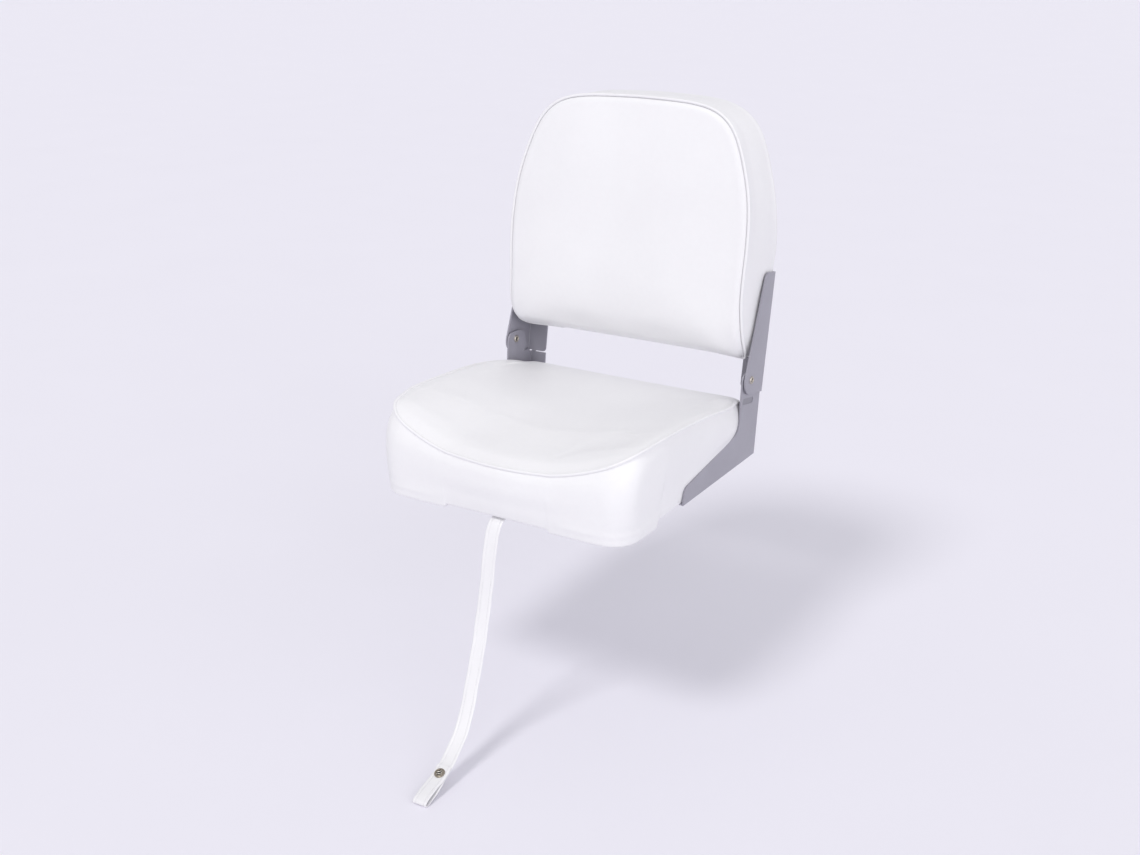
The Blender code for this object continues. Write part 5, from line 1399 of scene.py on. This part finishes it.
outline = mirror_half(seat_base_half())
outward = flat_outward(in_plan(outline), UP)
hem_line = [p - n * HEM_WIDTH * 0.5 for p, n in zip(in_plan(outline), outward)]
spots = even_points(hem_line + [hem_line[0]], STAPLE_PITCH)[:-1]
bpy.context.view_layer.update()
corners, faces = [], []
for index, spot in enumerate(spots):
    beside_foot = abs(spot.x) > FOOT_INNER_X and spot.y > TIP_Y - FOOT_GUARD
    under_strap = abs(spot.x - STRAP_ROUTE[0][0]) < STRAP_GUARD and spot.y < 0
    hit, place, normal, _ = seat_cushion.ray_cast((spot.x, spot.y, -0.05), (0, 0, 1))
    if hit and normal.z < -0.8 and not beside_foot and not under_strap:
        ahead = spots[(index + 1) % len(spots)] - spots[index - 1]
        wire_corners, wire_faces = staple_at(place, ahead.normalized(), -UP)
        faces += [tuple(len(corners) + i for i in face) for face in wire_faces]
        corners += wire_corners
hem_staples = mesh_piece("hem_staples", corners, faces, ZINC)
face_outward(hem_staples)
apply_modifier(hem_staples, "BEVEL", width=0.00015, segments=1, limit_method="ANGLE")
smooth(hem_staples, 40)
finish_piece(hem_staples, "seat", "zinc_steel")
print("staples:", len(faces) // 14)

# %% [markdown]
# ## Turned rivets and snap
# Rivets and the snap are round, so each is one profile spun about its axis. The rivets are
# tubular: the end of the tube is rolled over into a ring round a shallow hollow whose floor
# is painted near black, as painted shade for a deep hole. The snap's socket is a rolled ring
# round a shallow well painted the same way, with the two wires of its spring across it.
# %% Turn a profile


SPIN_STEPS = 32


def turned_piece(name, profile, place, materials, painted_shade_radius=0.0):
    """A profile of (radius, height) from the axis round to the axis, spun about Z."""
    mesh = bpy.data.meshes.new(name)
    mesh.from_pydata([(r, 0, h) for r, h in profile],
                     [(k, k + 1) for k in range(len(profile) - 1)], [])
    piece = show_mesh(name, mesh, *materials)
    only(piece)
    bpy.ops.object.mode_set(mode="EDIT")
    bpy.ops.mesh.select_all(action="SELECT")
    bpy.ops.mesh.spin(steps=SPIN_STEPS, angle=2 * math.pi, center=(0, 0, 0), axis=(0, 0, 1))
    bpy.ops.mesh.select_all(action="SELECT")
    bpy.ops.mesh.remove_doubles(threshold=0.000002)
    bpy.ops.mesh.normals_make_consistent(inside=False)
    bpy.ops.object.mode_set(mode="OBJECT")
    # Faces near the axis take the second material, a near-black painted shade.
    for face in piece.data.polygons:
        face.material_index = int(math.hypot(face.center.x, face.center.y) < painted_shade_radius)
    smooth(piece, 50)
    piece.data.transform(place)
    piece.data.update()
    return piece


# %% Turn the two pivot rivets
# Painted reflection: the snap's nickel gets a dark base colour that stands in for the dark
# surroundings its polished metal mirrors; the noise varies that tone at random.
NICKEL_PAINTED_DARK_REFLECTION = Finish("old_nickel_plate")
snap_tone_noise = NICKEL_PAINTED_DARK_REFLECTION.noise(900.0, 3.0, 0.6)
NICKEL_PAINTED_DARK_REFLECTION = NICKEL_PAINTED_DARK_REFLECTION.surface(Base_Color=NICKEL_PAINTED_DARK_REFLECTION.blend(snap_tone_noise, (0.25, 0.22, 0.17),
                                                            (0.40, 0.36, 0.29)),
                                Metallic=1.0, Roughness=0.16 + snap_tone_noise * 0.18)
# Painted shade: a near-black finish for the floor of the rivets' hollows and the snap's well,
# standing in for the shade deep inside a hole.
PAINTED_SHADE_WELL = Finish("blackened_well")
well_shade_noise = PAINTED_SHADE_WELL.noise(700.0, 2.0)
PAINTED_SHADE_WELL = PAINTED_SHADE_WELL.surface(Base_Color=PAINTED_SHADE_WELL.blend(well_shade_noise, (0.010, 0.009, 0.008),
                                                         (0.030, 0.027, 0.024)),
                              Roughness=0.5 + well_shade_noise * 0.2)
RIVET_HEAD = (
    (0.0000, -0.0006), (0.0026, -0.0006), (0.0031, 0.0006), (0.0033, 0.0015),
    (0.0038, 0.0020), (0.0046, 0.0021), (0.0054, 0.0016), (0.0060, 0.0008), (0.0061, 0.0000),
)
RIVET_SHADE_RADIUS = 0.0029
RIVET_GRIP = UPPER_OUTER_X - LOWER_INNER_X
for side, turn in (("left", -1), ("right", 1)):
    outer = [(r, RIVET_GRIP / 2 + h) for r, h in RIVET_HEAD] + [(0.0030, RIVET_GRIP / 2)]
    profile = outer + [(r, -h) for r, h in reversed(outer)]
    axis = Matrix.Rotation(math.radians(90), 4, "Y")
    middle = Vector((turn * (UPPER_OUTER_X + LOWER_INNER_X) / 2, PIVOT.y, PIVOT.z))
    rivet = turned_piece(f"hinge_rivet_{side}", profile, Matrix.Translation(middle) @ axis,
                         (RIVET_METAL, PAINTED_SHADE_WELL), RIVET_SHADE_RADIUS)
    finish_piece(rivet, "seat", "nickel", f"pivot_rivet_{side}")

# %% Turn the snap's cap and socket
SNAP_INDEX = 18
SNAP_BACK_INDEX = 28
SNAP_GAP = 0.0001
WELL_SHADE_RADIUS = 0.0040
route = smooth_curve(STRAP_ROUTE, ROUTE_STEPS)
snap_spot = route[SNAP_INDEX * ROUTE_STEPS]
snap_back = route[SNAP_BACK_INDEX * ROUTE_STEPS]
along = (route[SNAP_INDEX * ROUTE_STEPS + 1] - route[SNAP_INDEX * ROUTE_STEPS - 1]).normalized()
snap_face = (Vector((1, 0, 0)) - along * along.x).cross(along).normalized()
snap_face = snap_face if snap_face.z > 0 else -snap_face
snap_turn = Matrix.Translation(snap_spot) @ snap_face.to_track_quat("Z", "Y").to_matrix().to_4x4()
top = (snap_back - snap_spot).dot(snap_face) + STRAP_THICK / 2 + SNAP_GAP
SOCKET = (
    (0.0000, 0.0002), (0.0036, 0.0002), (0.0040, 0.0016), (0.0042, 0.0026), (0.0046, 0.0030),
    (0.0051, 0.0029), (0.0054, 0.0022), (0.0057, 0.0013), (0.0063, 0.0011), (0.0070, 0.0012),
    (0.0075, 0.0008), (0.0076, 0.0003), (0.0074, 0.0000), (0.0000, 0.0000),
)
socket = turned_piece("snap_socket_ring", [(r, top + h) for r, h in SOCKET], snap_turn,
                      (NICKEL_PAINTED_DARK_REFLECTION, PAINTED_SHADE_WELL), WELL_SHADE_RADIUS)
finish_piece(socket, "seat", "nickel", "snap_socket")
CAP_HEIGHT = 0.0020
CAP = (
    (0.0000, -CAP_HEIGHT), (0.0030, -CAP_HEIGHT * 0.97), (0.0054, -CAP_HEIGHT * 0.80),
    (0.0067, -CAP_HEIGHT * 0.48), (0.0070, -CAP_HEIGHT * 0.15), (0.0068, 0.0),
    (0.0020, 0.0), (0.0020, 0.0012), (0.0000, 0.0012),
)
cap = turned_piece("snap_cap_dome", [(r, h - STRAP_THICK / 2 - SNAP_GAP) for r, h in CAP],
                   snap_turn, (NICKEL_PAINTED_DARK_REFLECTION,))
finish_piece(cap, "seat", "nickel", "snap_cap")


# %% Bend the snap's spring
SPRING_REACH = 0.0036
SPRING_SPREAD = 0.0017
SPRING_BOW = 0.25
SPRING_RISE = 0.0017
SPRING_TURN = 35


def spring_wire(name, offset):
    """One wire of the socket's spring, bowed across the well."""
    corners = []
    rows, sides, radius = 9, 8, 0.00042
    for row in range(rows):
        u = -1 + 2 * row / (rows - 1)
        for k in range(sides):
            a = 2 * math.pi * k / sides
            corners.append((u * SPRING_REACH,
                            offset * (1 - SPRING_BOW * u * u) + radius * math.cos(a),
                            top + SPRING_RISE + radius * math.sin(a)))
    faces = ring_faces(rows, sides)
    faces += [tuple(range(sides)), tuple(reversed(range((rows - 1) * sides, rows * sides)))]
    wire = mesh_piece(name, corners, faces, NICKEL)
    face_outward(wire)
    smooth(wire, 50)
    wire.data.transform(snap_turn @ Matrix.Rotation(math.radians(SPRING_TURN), 4, "Z"))
    finish_piece(wire, "seat", "nickel")
    return wire


wires = [spring_wire("snap_spring_front", -SPRING_SPREAD),
         spring_wire("snap_spring_rear", SPRING_SPREAD)]

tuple(STRAP_ROUTE[0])

# %% [markdown]
# ## Studio
# A wide pale floor catches the soft shadow; the seat itself hangs where its pedestal would
# hold it. Three soft lamps light it: a high one in front, a broad one near the camera and a
# low one at the side. The even sky fills what they leave.
# %% Lay the floor and light it
FLOOR_HEIGHT = min(v.co.z for v in strap_band.data.vertices) - 0.0002

bpy.ops.object.select_all(action="DESELECT")
bpy.ops.mesh.primitive_plane_add(size=120, location=(0, 0, FLOOR_HEIGHT))
floor = bpy.context.object
floor.name = "studio_floor"
pale = Finish("studio_floor_paint")
speckle = pale.noise(3.0, 2.0)
floor.data.materials.append(pale.surface(
    Base_Color=pale.blend(speckle, (0.848, 0.832, 0.902), (0.864, 0.848, 0.918)),
    Roughness=0.75))


def soft_sun(name, heading, height, softness, strength, colour):
    """A far, wide lamp: heading and height in degrees say where its light comes from."""
    bpy.ops.object.select_all(action="DESELECT")
    bpy.ops.object.light_add(type="SUN", location=(0, 0, 2))
    lamp = bpy.context.object
    lamp.name = name
    lamp.data.energy = strength
    lamp.data.angle = math.radians(softness)
    lamp.data.color = colour
    toward = Vector((math.cos(math.radians(heading)) * math.cos(math.radians(height)),
                     math.sin(math.radians(heading)) * math.cos(math.radians(height)),
                     math.sin(math.radians(height))))
    lamp.rotation_euler = toward.to_track_quat("Z", "Y").to_euler()
    print("lamp:", name, strength)


soft_sun("key_lamp", -103, 54, 15, 0.94, (1.0, 0.99, 0.98))
soft_sun("front_lamp", -50, 20, 50, 0.66, (1.0, 0.99, 0.99))
soft_sun("side_lamp", -8, 8, 80, 0.62, (0.98, 0.98, 1.0))

# %% Light the sky
SKY_COLOUR = (0.93, 0.93, 0.97, 1.0)
SKY_STRENGTH = 0.655
BACKDROP_COLOUR = (0.82, 0.81, 0.88, 1.0)

world = bpy.data.worlds.new("studio_sky")
bpy.context.scene.world = world
world.use_nodes = True
sky = world.node_tree
sky.nodes.clear()
even, shown = [sky.nodes.new("ShaderNodeBackground") for _ in range(2)]
even.inputs["Color"].default_value = SKY_COLOUR
even.inputs["Strength"].default_value = SKY_STRENGTH
shown.inputs["Color"].default_value = BACKDROP_COLOUR
ray = sky.nodes.new("ShaderNodeLightPath")
seen = ray.outputs["Is Camera Ray"]
for kind in ("Is Glossy Ray", "Is Transmission Ray"):
    either = sky.nodes.new("ShaderNodeMath")
    either.operation = "MAXIMUM"
    sky.links.new(seen, either.inputs[0])
    sky.links.new(ray.outputs[kind], either.inputs[1])
    seen = either.outputs[0]
choice = sky.nodes.new("ShaderNodeMixShader")
out = sky.nodes.new("ShaderNodeOutputWorld")
for socket, source in (("Fac", seen), (1, even.outputs[0]), (2, shown.outputs[0])):
    sky.links.new(source, choice.inputs[socket])
sky.links.new(choice.outputs[0], out.inputs["Surface"])
bpy.context.scene.view_settings.view_transform = "Standard"
print("sky:", world.name, SKY_STRENGTH)
